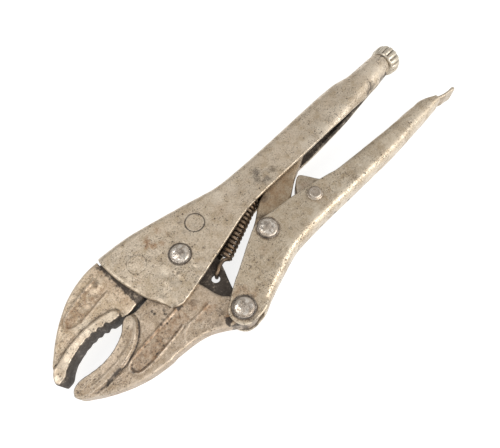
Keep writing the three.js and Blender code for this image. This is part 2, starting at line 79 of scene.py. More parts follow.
LOWER_JAW = [
  [-8.3, -3.2], [-16.0, -3.9], [-25.0, -4.4], [-34.2, -4.95], [-35.2, -4.8], [-37.0, -4.4],
  [-38.7, -4.9], [-40.3, -6.1], [-41.6, -7.6], [-43.6, -9.1], [-47.4, -11.0], [-52.3, -12.5],
  [-58.8, -13.0], [-63.9, -12.4], [-66.8, -11.9], [-70.0, -12.0], [-72.5, -13.2], [-73.5, -15.0],
  [-72.9, -16.6], [-71.4, -17.9], [-68.0, -20.4], [-63.3, -23.5], [-57.8, -26.4], [-51.7, -28.9],
  [-45.8, -30.7], [-40.3, -31.7], [-34.4, -32.4], [-28.4, -33.0], [-22.2, -33.8], [-16.8, -35.1],
  [-13.3, -36.5], [-9.3, -38.9], [-6.1, -41.1], [-1.8, -44.4], [0.0, -45.5], [4.0, -44.0],
  [6.5, -38.0], [4.6, -33.8], [2.8, -30.4], [0.4, -27.6], [-0.7, -25.2], [-2.0, -19.6],
  [-3.0, -15.2], [-1.0, -12.0], [5.5, -6.6], [0.0, 0.0],
]
LOWER_LIP = [
  [-34.9, -5.3], [-37.0, -4.5], [-38.7, -5.0], [-40.3, -6.2], [-41.6, -7.7], [-43.6, -9.2],
  [-47.4, -11.1], [-52.3, -12.6], [-58.8, -13.1], [-63.9, -12.5], [-66.8, -12.0], [-70.0, -12.1],
  [-72.4, -13.3], [-73.4, -15.0], [-72.8, -16.6], [-70.6, -18.3], [-66.0, -19.3], [-59.0, -19.7],
  [-53.2, -19.6], [-45.9, -17.9], [-40.5, -15.0], [-36.4, -10.8], [-34.9, -8.0],
]
LOWER_TEETH = [-64.0, -60.4, -56.8, -53.2, -49.7, -46.3, -43.4]
TAB = [
  [-4.0, -14.0], [0.0, -6.0], [6.0, -4.0], [10.5, -6.0], [12.4, -9.5], [12.2, -13.3],
  [10.6, -18.4], [8.8, -22.8], [7.0, -27.6], [5.8, -31.6], [3.0, -35.0], [-2.0, -30.0],
]
HANDLE_SIDE = [
  [0.9, -32.4], [6.9, -28.6], [14.5, -24.6], [19.7, -21.9], [24.7, -19.2], [28.9, -17.1],
  [33.3, -15.0], [36.8, -14.0], [39.9, -14.0], [43.0, -14.5], [49.7, -15.4], [56.9, -16.1],
  [62.0, -17.0], [68.0, -18.0], [74.0, -19.1], [80.7, -20.6], [88.0, -22.2], [95.0, -21.0],
  [151.5, -21.0], [153.5, -26.2], [156.6, -30.2], [158.0, -33.2], [158.0, -55.0], [9.0, -55.0],
  [7.0, -45.9], [3.0, -47.0], [-1.0, -45.9], [-3.7, -43.1], [-4.6, -39.4], [-3.9, -36.1],
]
LINK = [
  [36.2, -27.4], [41.5, -27.0], [50.0, -21.5], [61.1, -15.0], [65.6, -12.1], [70.5, -9.0],
  [78.3, -5.4], [86.0, -1.6], [92.0, 2.3], [95.4, 4.3], [97.6, 5.3], [98.3, 7.1],
  [97.5, 9.1], [95.5, 9.9], [88.0, 8.3], [76.0, 4.2], [62.0, -0.9], [52.5, -4.0], [47.2, -6.1],
  [38.0, -12.1], [33.0, -15.3], [30.9, -18.6], [30.9, -22.2], [32.8, -25.6],
]
LEVER_NOSE = [
  [62.2, -19.0], [65.7, -13.8], [68.4, -11.4], [70.7, -10.1], [72.1, -9.9], [73.2, -10.9],
  [74.7, -13.2], [76.4, -16.2], [78.3, -19.2], [82.0, -22.6], [88.0, -25.6], [88.0, -29.6],
  [74.0, -30.4], [66.0, -29.6], [62.4, -26.0],
]
LEVER_BAR = [
  [80.0, -24.5], [90.0, -25.6], [150.0, -25.2], [155.0, -25.9], [158.0, -27.1], [161.0, -29.3],
  [164.0, -31.3], [167.0, -32.3], [170.5, -32.8], [174.3, -33.1], [175.0, -33.8], [174.3, -34.6],
  [170.0, -34.4], [166.0, -33.9], [162.6, -32.6], [159.4, -30.6], [156.6, -28.6], [153.0, -27.6],
  [149.0, -28.6], [130.0, -30.0], [90.0, -30.2], [80.0, -29.8],
]
LUG = [
  [52.6, 12.6], [53.4, 0.0], [56.0, -1.0], [58.0, -1.0], [60.6, 0.4], [61.4, 12.6],
]
FRAME_STATIONS = [
  [-31.0, 26.5, -22.0, 7.5, 3.2, 4.0, 2], [-24.0, 26.3, -22.0, 7.5, 3.2, 4.0, 2],
  [-12.8, 25.4, -22.0, 7.5, 3.2, 4.0, 2], [0.0, 23.0, -22.0, 7.5, 3.2, 4.0, 2],
  [11.0, 20.6, -20.0, 7.5, 3.2, 4.0, 2], [22.0, 18.1, -18.0, 7.5, 3.2, 4.0, 2],
  [29.0, 16.3, -15.0, 7.5, 3.2, 4.0, 2], [36.0, 14.8, -12.0, 7.5, 3.3, 4.0, 2],
  [44.0, 14.1, -9.0, 7.5, 3.3, 4.0, 2], [60.0, 14.0, -7.0, 7.5, 3.5, 4.0, 2],
  [75.0, 14.3, -6.0, 7.5, 3.8, 4.5, 3], [88.0, 14.7, -4.8, 7.5, 4.2, 5.0, 8],
  [96.0, 15.1, -4.7, 7.5, 4.6, 5.5, 20], [103.0, 15.4, -4.6, 7.5, 5.0, 5.8, 36],
  [112.0, 15.8, -4.5, 7.5, 5.6, 6.2, 48], [121.0, 16.1, -4.1, 7.45, 6.2, 6.5, 58],
  [128.0, 16.0, -3.6, 7.35, 6.6, 6.7, 70], [134.0, 15.2, -3.2, 7.25, 6.9, 6.9, 80],
  [138.0, 14.5, -2.9, 7.15, 7.0, 7.0, 86], [143.0, 14.2, -2.3, 7.15, 7.1, 7.1, 87], [149.0, 14.2, -1.9, 7.15, 7.1, 7.1, 87],
  [155.0, 14.2, -1.0, 7.15, 7.1, 7.1, 87],
  [162.0, 14.2, 0.0, 7.15, 7.1, 7.1, 87],
]
HANDLE_STATIONS = [
  [-6.0, 50.6, 8.0, 7.5, 4.0, 4.0, 2], [9.9, 47.0, 10.0, 7.5, 4.0, 4.0, 2],
  [16.0, 44.5, 12.0, 7.5, 4.0, 4.0, 2], [23.3, 42.0, 12.0, 7.5, 4.0, 4.0, 2],
  [33.8, 38.8, 12.0, 7.5, 4.0, 4.0, 2], [39.5, 37.2, 12.0, 7.5, 4.0, 4.0, 2],
  [45.0, 36.2, 12.0, 7.5, 4.0, 4.0, 2], [55.0, 35.8, 13.0, 7.5, 4.0, 4.0, 2],
  [66.0, 35.7, 15.0, 7.5, 4.0, 4.0, 2], [80.0, 35.9, 18.0, 7.5, 4.0, 4.0, 2],
  [90.0, 36.0, 22.4, 7.5, 4.0, 4.0, 8], [97.0, 36.1, 22.6, 7.5, 4.0, 4.0, 30],
  [105.0, 36.2, 22.8, 7.5, 4.2, 4.2, 50], [117.0, 36.3, 23.4, 7.5, 4.4, 4.4, 62],
  [130.0, 35.9, 24.1, 7.5, 4.6, 4.6, 68], [140.0, 35.3, 24.6, 7.4, 4.6, 4.6, 70],
  [149.0, 34.9, 24.9, 7.2, 4.4, 4.4, 70], [154.0, 34.6, 25.0, 7.0, 4.2, 4.2, 48],
  [158.0, 34.2, 25.2, 6.8, 4.0, 4.0, 20], [162.0, 33.9, 25.4, 6.5, 3.8, 3.8, 12],
]

# ---------------------------------------------------------------- sizes, in millimetres of the working frame
HALF_WIDTH = 7.5
SHEET = 2.2
JAW_HALF = 5.0
LIP_HALF = 6.2
LINK_HALF = 4.6
NOSE_HALF = 4.6
BAR_HALF = 2.9
TAIL_HALF = 5.0
TAB_HALF = 1.25
P, A, B, D = (0.0, 0.0), (3.0, -39.4), (38.4, -20.2), (68.2, -23.9)
F1, F2 = (-17.5, 10.6), (15.9, 7.0)
AXIS_Y = 7.1
SHANK_R = 4.6
SHIFT = np.array([-49.35, 10.35, 9.75])      # working frame to row frame
LEVER_PLAN = [[79.0, 2.9], [156.0, 2.9], [160.0, 3.6], [164.0, 4.7], [168.0, 5.0], [174.0, 5.0], [175.4, 4.6]]


# ---------------------------------------------------------------- numeric helpers
def pchip(xs, ys):
    """Monotone cubic through the points, as a function of an array."""
    xs, ys = np.asarray(xs, float), np.asarray(ys, float)
    h = np.diff(xs)
    d = np.diff(ys) / h
    m = np.zeros_like(ys)
    for i in range(1, len(xs) - 1):
        if d[i - 1] * d[i] > 0:
            w1, w2 = 2 * h[i] + h[i - 1], h[i] + 2 * h[i - 1]
            m[i] = (w1 + w2) / (w1 / d[i - 1] + w2 / d[i])
    m[0], m[-1] = d[0], d[-1]

    def f(x):
        x = np.clip(np.asarray(x, float), xs[0], xs[-1])
        k = np.clip(np.searchsorted(xs, x, side="right") - 1, 0, len(h) - 1)
        t = (x - xs[k]) / h[k]
        t2, t3 = t * t, t * t * t
        return ((2 * t3 - 3 * t2 + 1) * ys[k] + (t3 - 2 * t2 + t) * h[k] * m[k]
                + (-2 * t3 + 3 * t2) * ys[k + 1] + (t3 - t2) * h[k] * m[k + 1])
    return f


def smoothstep(a, b, x):
    t = np.clip((x - a) / (b - a), 0, 1)
    return t * t * (3 - 2 * t)


def resample(pts, step=0.6, corner=42.0, closed=True):
    """Smooth line through the points, keeping corners sharper than `corner` degrees."""
    p = np.asarray(pts, float)
    n = len(p)
    out = []
    last = n if closed else n - 1

    def turn(i):
        if not closed and (i == 0 or i == n - 1):
            return 180.0
        a, b = p[i] - p[i - 1], p[(i + 1) % n] - p[i]
        c = a @ b / (np.linalg.norm(a) * np.linalg.norm(b) + 1e-12)
        return math.degrees(math.acos(max(-1, min(1, c))))
    tangents = []
    for i in range(n):
        if turn(i) > corner:
            tangents.append(None)
        else:
            a, b = p[i] - p[i - 1], p[(i + 1) % n] - p[i]
            la, lb = np.linalg.norm(a), np.linalg.norm(b)
            t = (a / la * lb + b / lb * la)
            tangents.append(t / np.linalg.norm(t))
    for i in range(last):
        a, b = p[i], p[(i + 1) % n]
        L = np.linalg.norm(b - a)
        u = (b - a) / L
        ta = tangents[i] if tangents[i] is not None else u
        tb = tangents[(i + 1) % n] if tangents[(i + 1) % n] is not None else u
        k = max(1, int(round(L / step)))
        for j in range(k):
            t = j / k
            t2, t3 = t * t, t * t * t
            out.append((2 * t3 - 3 * t2 + 1) * a + (t3 - 2 * t2 + t) * L * ta + (-2 * t3 + 3 * t2) * b + (t3 - t2) * L * tb)
    if not closed:
        out.append(p[-1])
    return np.array(out)


def area2(p):
    q = np.roll(p, -1, axis=0)
    return float(np.sum(p[:, 0] * q[:, 1] - q[:, 0] * p[:, 1]))


def ccw(p):
    return p[::-1].copy() if area2(p) < 0 else p


def line_distance(q, line, closed=False):
    """Distance from each point of q to a polyline."""
    q, a = np.asarray(q, float), np.asarray(line, float)
    b = np.roll(a, -1, axis=0) if closed else a[1:]
    a = a if closed else a[:-1]
    best = np.full(len(q), 1e9)
    for s in range(0, len(a), 64):
        aa, bb = a[s:s + 64], b[s:s + 64]
        ab = bb - aa
        l2 = np.maximum((ab ** 2).sum(1), 1e-12)
        t = np.clip(((q[:, None, :] - aa[None]) * ab[None]).sum(2) / l2[None], 0, 1)
        d = np.linalg.norm(q[:, None, :] - aa[None] - t[..., None] * ab[None], axis=2).min(1)
        best = np.minimum(best, d)
    return best


def inside(q, poly):
    q, a = np.asarray(q, float), np.asarray(poly, float)
    b = np.roll(a, -1, axis=0)
    c = np.zeros(len(q), bool)
    for (x0, y0), (x1, y1) in zip(a, b):
        hit = ((y0 > q[:, 1]) != (y1 > q[:, 1]))
        if hit.any():
            xs = x0 + (q[:, 1] - y0) * (x1 - x0) / ((y1 - y0) if y1 != y0 else 1e-12)
            c ^= hit & (q[:, 0] < xs)
    return c


def signed(q, poly):
    """Distance to the outline, positive inside."""
    d = line_distance(q, poly, closed=True)
    return np.where(inside(q, poly), d, -d)


def noise3(co, scale, seed=0.0, detail=3):
    out = np.empty(len(co))
    off = Vector((seed * 13.7, seed * 7.1, seed * 3.3))
    for i, c in enumerate(co):
        out[i] = noise.fractal(Vector(c) * scale + off, 0.6, 2.0, detail)
    return out


# ---------------------------------------------------------------- mesh helpers (millimetres, working frame)
def mesh_of(name, verts, faces):
    me = bpy.data.meshes.new(name)
    me.from_pydata([tuple(map(float, v)) for v in verts], [], faces)
    bm = bmesh.new()
    bm.from_mesh(me)
    bmesh.ops.remove_doubles(bm, verts=bm.verts, dist=1e-4)
    bmesh.ops.dissolve_degenerate(bm, dist=1e-5, edges=bm.edges)
    bmesh.ops.recalc_face_normals(bm, faces=bm.faces)
    bm.to_mesh(me)
    bm.free()
    return me


def new_object(name, me):
    ob = bpy.data.objects.new(name, me)
    bpy.context.scene.collection.objects.link(ob)
    return ob


def merge_meshes(name, meshes):
    bm = bmesh.new()
    for m in meshes:
        bm.from_mesh(m)
    me = bpy.data.meshes.new(name)
    bm.to_mesh(me)
    bm.free()
    return me


def remeshed(name, meshes, voxel, smooth=3, factor=0.5):
    """One closed skin round overlapping solids, with its steps smoothed away."""
    me = merge_meshes(name + "_raw", meshes)
    ob = new_object(name + "_tmp", me)
    m = ob.modifiers.new("r", "REMESH")
    m.mode = "VOXEL"
    m.voxel_size = voxel
    m.adaptivity = 0.0
    if smooth:
        s = ob.modifiers.new("s", "CORRECTIVE_SMOOTH") if False else ob.modifiers.new("s", "SMOOTH")
        s.factor = factor
        s.iterations = smooth
    dg = bpy.context.evaluated_depsgraph_get()
    out = bpy.data.meshes.new_from_object(ob.evaluated_get(dg))
    out.name = name
    bpy.data.objects.remove(ob)
    bpy.data.meshes.remove(me)
    return out


def coords(me):
    co = np.zeros(len(me.vertices) * 3, np.float32)
    me.vertices.foreach_get("co", co)
    return co.reshape(-1, 3).astype(float)


def normals(me):
    no = np.zeros(len(me.vertices) * 3, np.float32)
    me.vertices.foreach_get("normal", no)
    return no.reshape(-1, 3).astype(float)


def set_coords(me, co):
    me.vertices.foreach_set("co", co.astype(np.float32).ravel())
    me.update()


def curvature(me, rounds=2):
    """Mean curvature at each vertex, in 1/mm: above 0 on a ridge, below 0 in a hollow."""
    co, no = coords(me), normals(me)
    ed = np.zeros(len(me.edges) * 2, np.int32)
    me.edges.foreach_get("vertices", ed)
    ed = ed.reshape(-1, 2)
    n = len(co)
    acc, cnt, el = np.zeros((n, 3)), np.zeros(n), np.zeros(n)
    d = co[ed[:, 1]] - co[ed[:, 0]]
    L = np.linalg.norm(d, axis=1)
    np.add.at(acc, ed[:, 0], d)
    np.add.at(acc, ed[:, 1], -d)
    for k in (0, 1):
        np.add.at(cnt, ed[:, k], 1)
        np.add.at(el, ed[:, k], L ** 2)
    cnt = np.maximum(cnt, 1)
    c = -(acc * no).sum(1) / np.maximum(el, 1e-9)
    for _ in range(rounds):
        s = np.zeros(n)
        np.add.at(s, ed[:, 0], c[ed[:, 1]])
        np.add.at(s, ed[:, 1], c[ed[:, 0]])
        c = 0.4 * c + 0.6 * s / cnt
    return c


def dense_plate(outline, height, step=0.7, rings=(0.1, 0.3, 0.65, 1.1, 1.7), extra=()):
    """Solid between z = -height and z = +height over an outline. height(q, d) takes points and their distance from the edge."""
    out = ccw(np.asarray(outline, float))
    n = len(out)
    t = np.roll(out, -1, axis=0) - np.roll(out, 1, axis=0)
    t /= np.linalg.norm(t, axis=1)[:, None] + 1e-12
    inward = np.stack([-t[:, 1], t[:, 0]], 1)
    cand = [out + inward * r for r in rings]
    lo, hi = out.min(0), out.max(0)
    gx = np.arange(lo[0], hi[0], step)
    gy = np.arange(lo[1], hi[1], step * 0.866)
    grid = np.array([(x + (step / 2 if j % 2 else 0), y) for j, y in enumerate(gy) for x in gx])
    pts = []
    for r, c in zip(rings, cand):
        c = c[inside(c, out)]
        c = c[line_distance(c, out, True) > r * 0.92]
        pts.append(c)
    g = grid[inside(grid, out)]
    g = g[line_distance(g, out, True) > rings[-1] + step * 0.6]
    pts.append(g)
    for e in extra:
        e = np.asarray(e, float)
        e = e[inside(e, out)]
        pts.append(e[line_distance(e, out, True) > 0.5])
    inner = np.concatenate([p for p in pts if len(p)])
    # thin out points that lie on top of each other
    key = np.round(inner / 0.12).astype(int)
    _, keep = np.unique(key, axis=0, return_index=True)
    inner = inner[np.sort(keep)]
    allp = np.concatenate([out, inner])
    vs, _, fs, _, _, _ = delaunay_2d_cdt([Vector((float(a), float(b))) for a, b in allp], [], [list(range(n))], 1, 1e-5)
    q = np.array([(v.x, v.y) for v in vs])
    d = line_distance(q, out, True)
    edge = d < 1e-3
    d[edge] = 0
    z = np.asarray(height(q, d), float)
    m = len(q)
    verts = [(q[i, 0], q[i, 1], z[i]) for i in range(m)] + [(q[i, 0], q[i, 1], -z[i]) for i in range(m)]
    faces = []
    count = {}
    for f in fs:
        f = list(f)
        faces.append(f)
        faces.append([i + m for i in reversed(f)])
        for a, b in zip(f, f[1:] + f[:1]):
            count[(a, b)] = count.get((a, b), 0) + 1
    for (a, b) in list(count):
        if (b, a) not in count:
            faces.append([b, a, a + m, b + m])
    return mesh_of("plate", verts, faces)


def rounded(r):
    """Height lost at distance d from an edge that is rounded to radius r."""
    return lambda d: np.where(d < r, r - np.sqrt(np.maximum(r * r - (r - np.minimum(d, r)) ** 2, 0)), 0.0)


def channel(rows, sign, xs, front=None, edge_line=None, end_round=0.8, flank=14, back=5, front_reach=45.0):
    """Pressed sheet channel. front(y) shifts the front end; edge_line(x) trims the flanks. Sheet edges are rounded."""
    r = np.array(rows, float)
    fx = [pchip(r[:, 0], r[:, k]) for k in range(1, 7)]
    # section parameters: (segment, t)
    par = [(0, t) for t in np.linspace(0, 1, 9)[:-1]] + [(1, t) for t in np.linspace(0, 1, flank)[:-1]]
    par += [(2, t) for t in np.linspace(0, 1, 9)[:-1]] + [(3, t) for t in np.linspace(0, 1, back)]
    seg = np.array([p[0] for p in par])
    tt = np.array([p[1] for p in par])
    er = 0.75                                         # rounding of the sheet's long edges

    def section(x, inset, pull=0.0):
        top, edge, hw, rt, rb, deg = [f(x) for f in fx]
        if edge_line is not None:
            edge = np.maximum(edge, edge_line(x))
        edge = edge + er
        g = np.radians(deg)
        ya = edge + rb * np.sin(g)
        a = g * (1 - tt)
        y = np.where(seg == 0, ya - (rb - inset) * np.sin(a),
            np.where(seg == 1, ya + tt * ((top - rt) - ya),
            np.where(seg == 2, top - rt + (rt - inset) * np.sin(tt * math.pi / 2), top - inset)))
        z = np.where(seg == 0, hw - rb + (rb - inset) * np.cos(a),
            np.where(seg == 1, hw - inset,
            np.where(seg == 2, hw - rt + (rt - inset) * np.cos(tt * math.pi / 2), (hw - rt) * (1 - tt))))
        return y, z, g

    m = len(par)
    loops = []
    x0 = xs[0]
    ends = [(er * (1 - math.sin(p)), p) for p in np.radians([90, 65, 40, 15])]
    plan = [(x0 + d, p) for d, p in ends] + [(x, 0.0) for x in xs if xs[0] + er * 1.3 < x < xs[-1] - end_round * 1.3]
    plan += [(xs[-1] - end_round * (1 - math.sin(p)), p) for p in np.radians([15, 40, 65, 90])]
    for X, p in plan:
        w = 1 - smoothstep(x0, x0 + front_reach, X) if front is not None else 0.0
        x = np.full(m, X)
        if front is not None:
            for _ in range(6):
                y, _, _ = section(x, 0.0)
                x = X + w * (front(y) - x0)
        inset = er * (1 - math.cos(p))
        yo, zo, g = section(x, inset)
        yi, zi, _ = section(x, SHEET - inset)
        # rounded long edge: an arc from the outer to the inner face at the first point
        mid = np.array([(yo[0] + yi[0]) / 2, (zo[0] + zi[0]) / 2])
        half = np.array([(yo[0] - yi[0]) / 2, (zo[0] - zi[0]) / 2])
        out = np.array([-math.cos(g[0]), -math.sin(g[0])])
        arc = [mid + half * math.cos(k) + out * er * math.sin(k) for k in np.radians([25, 50, 75, 90, 105, 130, 155])]
        xe = x[0]
        outer = [(x[i], yo[i], zo[i]) for i in range(m)]
        inner = [(x[i], yi[i], zi[i]) for i in range(m)]
        mirror = lambda s: [(a, b, -c) for a, b, c in s]
        arc3 = [(xe, a, b) for a, b in arc]
        loop = outer + mirror(outer[:-1])[::-1] + mirror(arc3) + mirror(inner[:-1]) + inner[::-1] + arc3[::-1]
        loops.append([(a, sign * b, c) for a, b, c in loop])
    k = len(loops[0])
    verts = [v for l in loops for v in l]
    faces = []
    for s in range(len(loops) - 1):
        for i in range(k):
            j = (i + 1) % k
            faces.append([s * k + i, s * k + j, (s + 1) * k + j, (s + 1) * k + i])
    # caps: pair the outer points with the inner ones
    no = 2 * m - 1
    na = len(arc3)
    for s in (0, len(loops) - 1):
        o = s * k
        # outer index i pairs with an inner index: inner side runs the other way, after the mirrored arc
        first_inner = no + na
        for i in range(no - 1):
            a0, a1 = i, i + 1
            b0, b1 = first_inner + (no - 1 - i), first_inner + (no - 2 - i)
            faces.append([o + a0, o + a1, o + b1, o + b0])
        faces.append([o + no - 1] + [o + no + t for t in range(na)] + [o + first_inner])
        faces.append([o + first_inner + no - 1] + [o + first_inner + no + t for t in range(na)] + [o])
    return mesh_of("channel", verts, faces)


def revolve_x(profile, n, radius_fn=None, name="turned"):
    """Solid of revolution about the screw axis. profile rows are (radius, x); radius_fn(x, r, angle) may change the radius."""
    verts, faces = [], []
    pr = np.asarray(profile, float)
    ang = np.linspace(0, 2 * math.pi, n, endpoint=False)
    for r, x in pr:
        rr = np.full(n, r) if radius_fn is None else radius_fn(x, r, ang)
        for a, q in zip(ang, rr):
            verts.append((x, AXIS_Y + q * math.cos(a), q * math.sin(a)))
    k = len(pr)
    for i in range(k - 1):
        for j in range(n):
            a, b = i * n + j, i * n + (j + 1) % n
            faces.append([a, b, b + n, a + n])
    faces.append(list(range(n))[::-1])
    faces.append([(k - 1) * n + j for j in range(n)])
    return mesh_of(name, verts, faces)


def sweep(path, radius, sides=10):
    """Round wire along a path, closed at both ends with flat caps."""
    p = np.asarray(path, float)
    t = np.gradient(p, axis=0)
    t /= np.linalg.norm(t, axis=1)[:, None]
    nrm = np.array([0.0, 0.0, 1.0])
    verts, faces = [], []
    r = np.full(len(p), float(radius))
    for i in range(len(p)):
        nrm = nrm - (nrm @ t[i]) * t[i]
        nrm /= np.linalg.norm(nrm)
        b = np.cross(t[i], nrm)
        for k in range(sides):
            a = 2 * math.pi * k / sides
            verts.append(p[i] + r[i] * (nrm * math.cos(a) + b * math.sin(a)))
    for i in range(len(p) - 1):
        for k in range(sides):
            a, c = i * sides + k, i * sides + (k + 1) % sides
            faces.append([a, c, c + sides, a + sides])
    e = (len(p) - 1) * sides
    faces.append(list(range(sides))[::-1])
    faces.append([e + k for k in range(sides)])
    return mesh_of("wire", verts, faces)


def smooth_path(pts, step=0.5):
    """Smooth space curve through the points."""
    p = np.asarray(pts, float)
    out = []
    n = len(p)
    for i in range(n - 1):
        p0, p1, p2, p3 = p[max(i - 1, 0)], p[i], p[i + 1], p[min(i + 2, n - 1)]
        k = max(1, int(round(np.linalg.norm(p2 - p1) / step)))
        for j in range(k):
            t = j / k
            out.append(0.5 * ((2 * p1) + (-p0 + p2) * t + (2 * p0 - 5 * p1 + 4 * p2 - p3) * t * t + (-p0 + 3 * p1 - 3 * p2 + p3) * t ** 3))
    out.append(p[-1])
    return np.array(out)


# ---------------------------------------------------------------- rivet heads
def rivet(c, shank, flange, dome, height, seed, facets=8, flat=False):
    """Riveted pin: a shank through the tool and a head each side, with a ring groove and hammer facets."""
    rng = np.random.default_rng(seed)
    n = 72
    rings = np.concatenate([[flange + 0.0], np.array([flange - 0.05, flange - 0.2, flange - 0.45]),
                            np.linspace(flange - 0.7, dome + 0.25, 3), [dome + 0.12, dome, dome - 0.12, dome - 0.3],
                            np.linspace(dome - 0.5, 0.3, 20)])
    metal = []
    for side in (1, -1):
        base = HALF_WIDTH - 0.05
        lift = 7.8 - base
        planes = []
        for k in range(facets):
            a = 2 * math.pi * (k + rng.uniform(-0.3, 0.3)) / facets
            rr = rng.uniform(0.25, 0.72) * dome
            planes.append((rr * math.cos(a), rr * math.sin(a), rng.uniform(0.5, 0.9), rng.uniform(0.05, 0.14)))
        cuts = [(math.radians(rng.uniform(1, 4)), rng.uniform(0, 6.28), 0.13)]
        cuts += [(math.radians(rng.uniform(7, 13)), 2 * math.pi * (k + rng.uniform(-0.3, 0.3)) / 5, rng.uniform(0.05, 0.11)) for k in range(5)]
        cuts += [(math.radians(rng.uniform(17, 27)), 2 * math.pi * (k + rng.uniform(-0.3, 0.3)) / 7, rng.uniform(0.04, 0.10)) for k in range(7)]
        ang = np.linspace(0, 2 * math.pi, n, endpoint=False)
        verts, faces = [], []
        for r in [flange] + list(rings):
            wob = 1 + 0.012 * np.sin(2 * ang + seed) + 0.008 * np.sin(3 * ang + 2.1 * seed)
            x, y = r * wob * np.cos(ang), r * wob * np.sin(ang)
            if flat:
                h = 0.5 + (height - 0.5) * smoothstep(0, 1, (flange - r) / 1.35) + 0 * ang
                h = h - 0.07 * smoothstep(2.0, 1.6, r) + 0.05 * (x + 0.6 * y) / flange * smoothstep(2.4, 1.6, r)
            else:
                lip = 0.5 * math.sqrt(max(0.0, 1 - max(0.0, (r - (flange - 0.5)) / 0.5) ** 2))
                u = min(1.0, r / dome)
                cap = 0.45 + (height - 0.45) * math.sqrt(max(0.0, 1 - u ** 2.1)) if r < dome else lip
                groove = 0.28 * math.exp(-((r - dome - 0.05) / 0.16) ** 2)
                h = np.full(n, cap - groove)
                if r < dome - 0.05:
                    for tilt, az, eps in cuts:
                        sup = math.sqrt((dome * math.sin(tilt)) ** 2 + ((height - 0.45) * math.cos(tilt)) ** 2) - eps
                        h = np.minimum(h, 0.45 + (sup - math.sin(tilt) * (x * math.cos(az) + y * math.sin(az))) / math.cos(tilt))
                    for px, py, sp, dd in planes:
                        h = h - dd * np.exp(-((x - px) ** 2 + (y - py) ** 2) / sp ** 2)
                    h = np.maximum(h, 0.4)
            z = side * (base + lift + h)
            for i in range(n):
                verts.append((c[0] + x[i], c[1] + y[i], z[i]))
        # the first ring is dropped to the flank
        for i in range(n):
            verts[i] = (verts[i][0], verts[i][1], side * (base - 0.15))
        k = len(rings) + 1
        for s in range(k - 1):
            for i in range(n):
                a, b = s * n + i, s * n + (i + 1) % n
                faces.append([a, b, b + n, a + n])
        faces.append([(k - 1) * n + i for i in range(n)])
        # shank half
        o = len(verts)
        for z in (side * (base - 0.15), 0.0):
            for i in range(n):
                verts.append((c[0] + shank * math.cos(ang[i]), c[1] + shank * math.sin(ang[i]), z))
        for i in range(n):
            a, b = o + i, o + (i + 1) % n
            faces.append([a, b, b + n, a + n])
            faces.append([i, (i + 1) % n, o + (i + 1) % n, o + i])
        metal.append((verts, faces))
    (v0, f0), (v1, f1) = metal
    m = len(v0)
    me = mesh_of("rivet", v0 + v1, f0 + [[i + m for i in f] for f in f1])
    return me


def flush_rivet(c, seed):
    """Flush rivet, hammered nearly level with the flank, a head each side."""
    rng = np.random.default_rng(seed)
    n = 64
    ang = np.linspace(0, 2 * math.pi, n, endpoint=False)
    verts, faces = [], []
    prof = []
    rings = [4.58, 4.55, 4.45, 4.25, 3.9, 3.3, 2.5, 1.6, 0.7]
    for r in rings:
        h = 7.49 + 0.03 * math.sqrt(max(0, 1 - (r / 4.58) ** 6)) - 0.12 * (1 if r >= 4.5 else 0) - 0.015 * math.exp(-((r - 2.6) / 0.6) ** 2)
        prof.append((r, h))
    loop = [(r, h) for r, h in prof]
    chain = [(3.2, 0.0), (3.2, 5.5), (4.58, 5.5)] + loop
    full = [(r, -z) for r, z in chain[::-1]][:-1] + [(3.2, 0.0)] + chain[1:]
    for r, z in full:
        for a in ang:
            verts.append((c[0] + r * math.cos(a), c[1] + r * math.sin(a), z))
    k = len(full)
    for s in range(k - 1):
        for i in range(n):
            a, b = s * n + i, s * n + (i + 1) % n
            faces.append([a, b, b + n, a + n])
    faces.append(list(range(n))[::-1])
    faces.append([(k - 1) * n + i for i in range(n)])
    return mesh_of("flush", verts, faces)


# ---------------------------------------------------------------- jaws
def tooth_outline(outline, xs, depths, width, y_lo, y_hi, up):
    """Cuts scallops into the part of an outline that faces the other jaw."""
    o = ccw(resample(outline, 0.38))
    t = np.roll(o, -1, axis=0) - np.roll(o, 1, axis=0)
    t /= np.linalg.norm(t, axis=1)[:, None]
    inward = np.stack([-t[:, 1], t[:, 0]], 1)
    facing = (inward[:, 1] * up > 0.25) & (o[:, 1] > y_lo) & (o[:, 1] < y_hi)
    move = np.zeros(len(o))
    for x, depth in zip(xs, depths):
        u = np.abs(o[:, 0] - x) / width
        move = np.maximum(move, depth * np.clip(1 - u ** 1.6, 0, 1))
    return o + inward * (move * facing)[:, None], facing


TIP = {(-76.2, -5.4): [-76.2, -6.0], (-75.0, -6.5): [-75.3, -7.5], (-71.4, -6.2): [-71.8, -6.9], (-76.1, -5.4): [-76.15, -6.0], (-75.0, -6.4): [-75.3, -7.4],
       (-71.4, -6.1): [-71.8, -6.8]}
upper_rim = [TIP.get(tuple(p), p) for p in UPPER_JAW]
upper_outline, _ = tooth_outline(upper_rim, UPPER_TEETH, [0.30, 0.38, 0.5, 0.62, 0.85, 1.15, 1.25], 1.45, -6.0, 1.0, 1)
upper_lip = ccw(resample([TIP.get(tuple(p), p) for p in UPPER_LIP], 0.5))


def grown(outline, by, where):
    """Outline pushed outwards by some millimetres where the mask says."""
    o = ccw(np.asarray(outline, float))
    t = np.roll(o, -1, axis=0) - np.roll(o, 1, axis=0)
    t /= np.linalg.norm(t, axis=1)[:, None]
    w = np.asarray(where(o), float)
    for _ in range(6):
        w = (w + np.roll(w, 1) + np.roll(w, -1)) / 3
    return o + np.stack([t[:, 1], -t[:, 0]], 1) * (by * w)[:, None]


lip_side = lambda o: (o[:, 0] < -36.0) & (line_distance(o, LOWER_LIP, True) < 0.9)
lower_outline = grown(resample(LOWER_JAW, 0.38), 0.55, lambda o: (o[:, 0] < -34.0))
lower_lip = grown(resample(LOWER_LIP, 0.5), 0.45, lambda o: np.ones(len(o)))

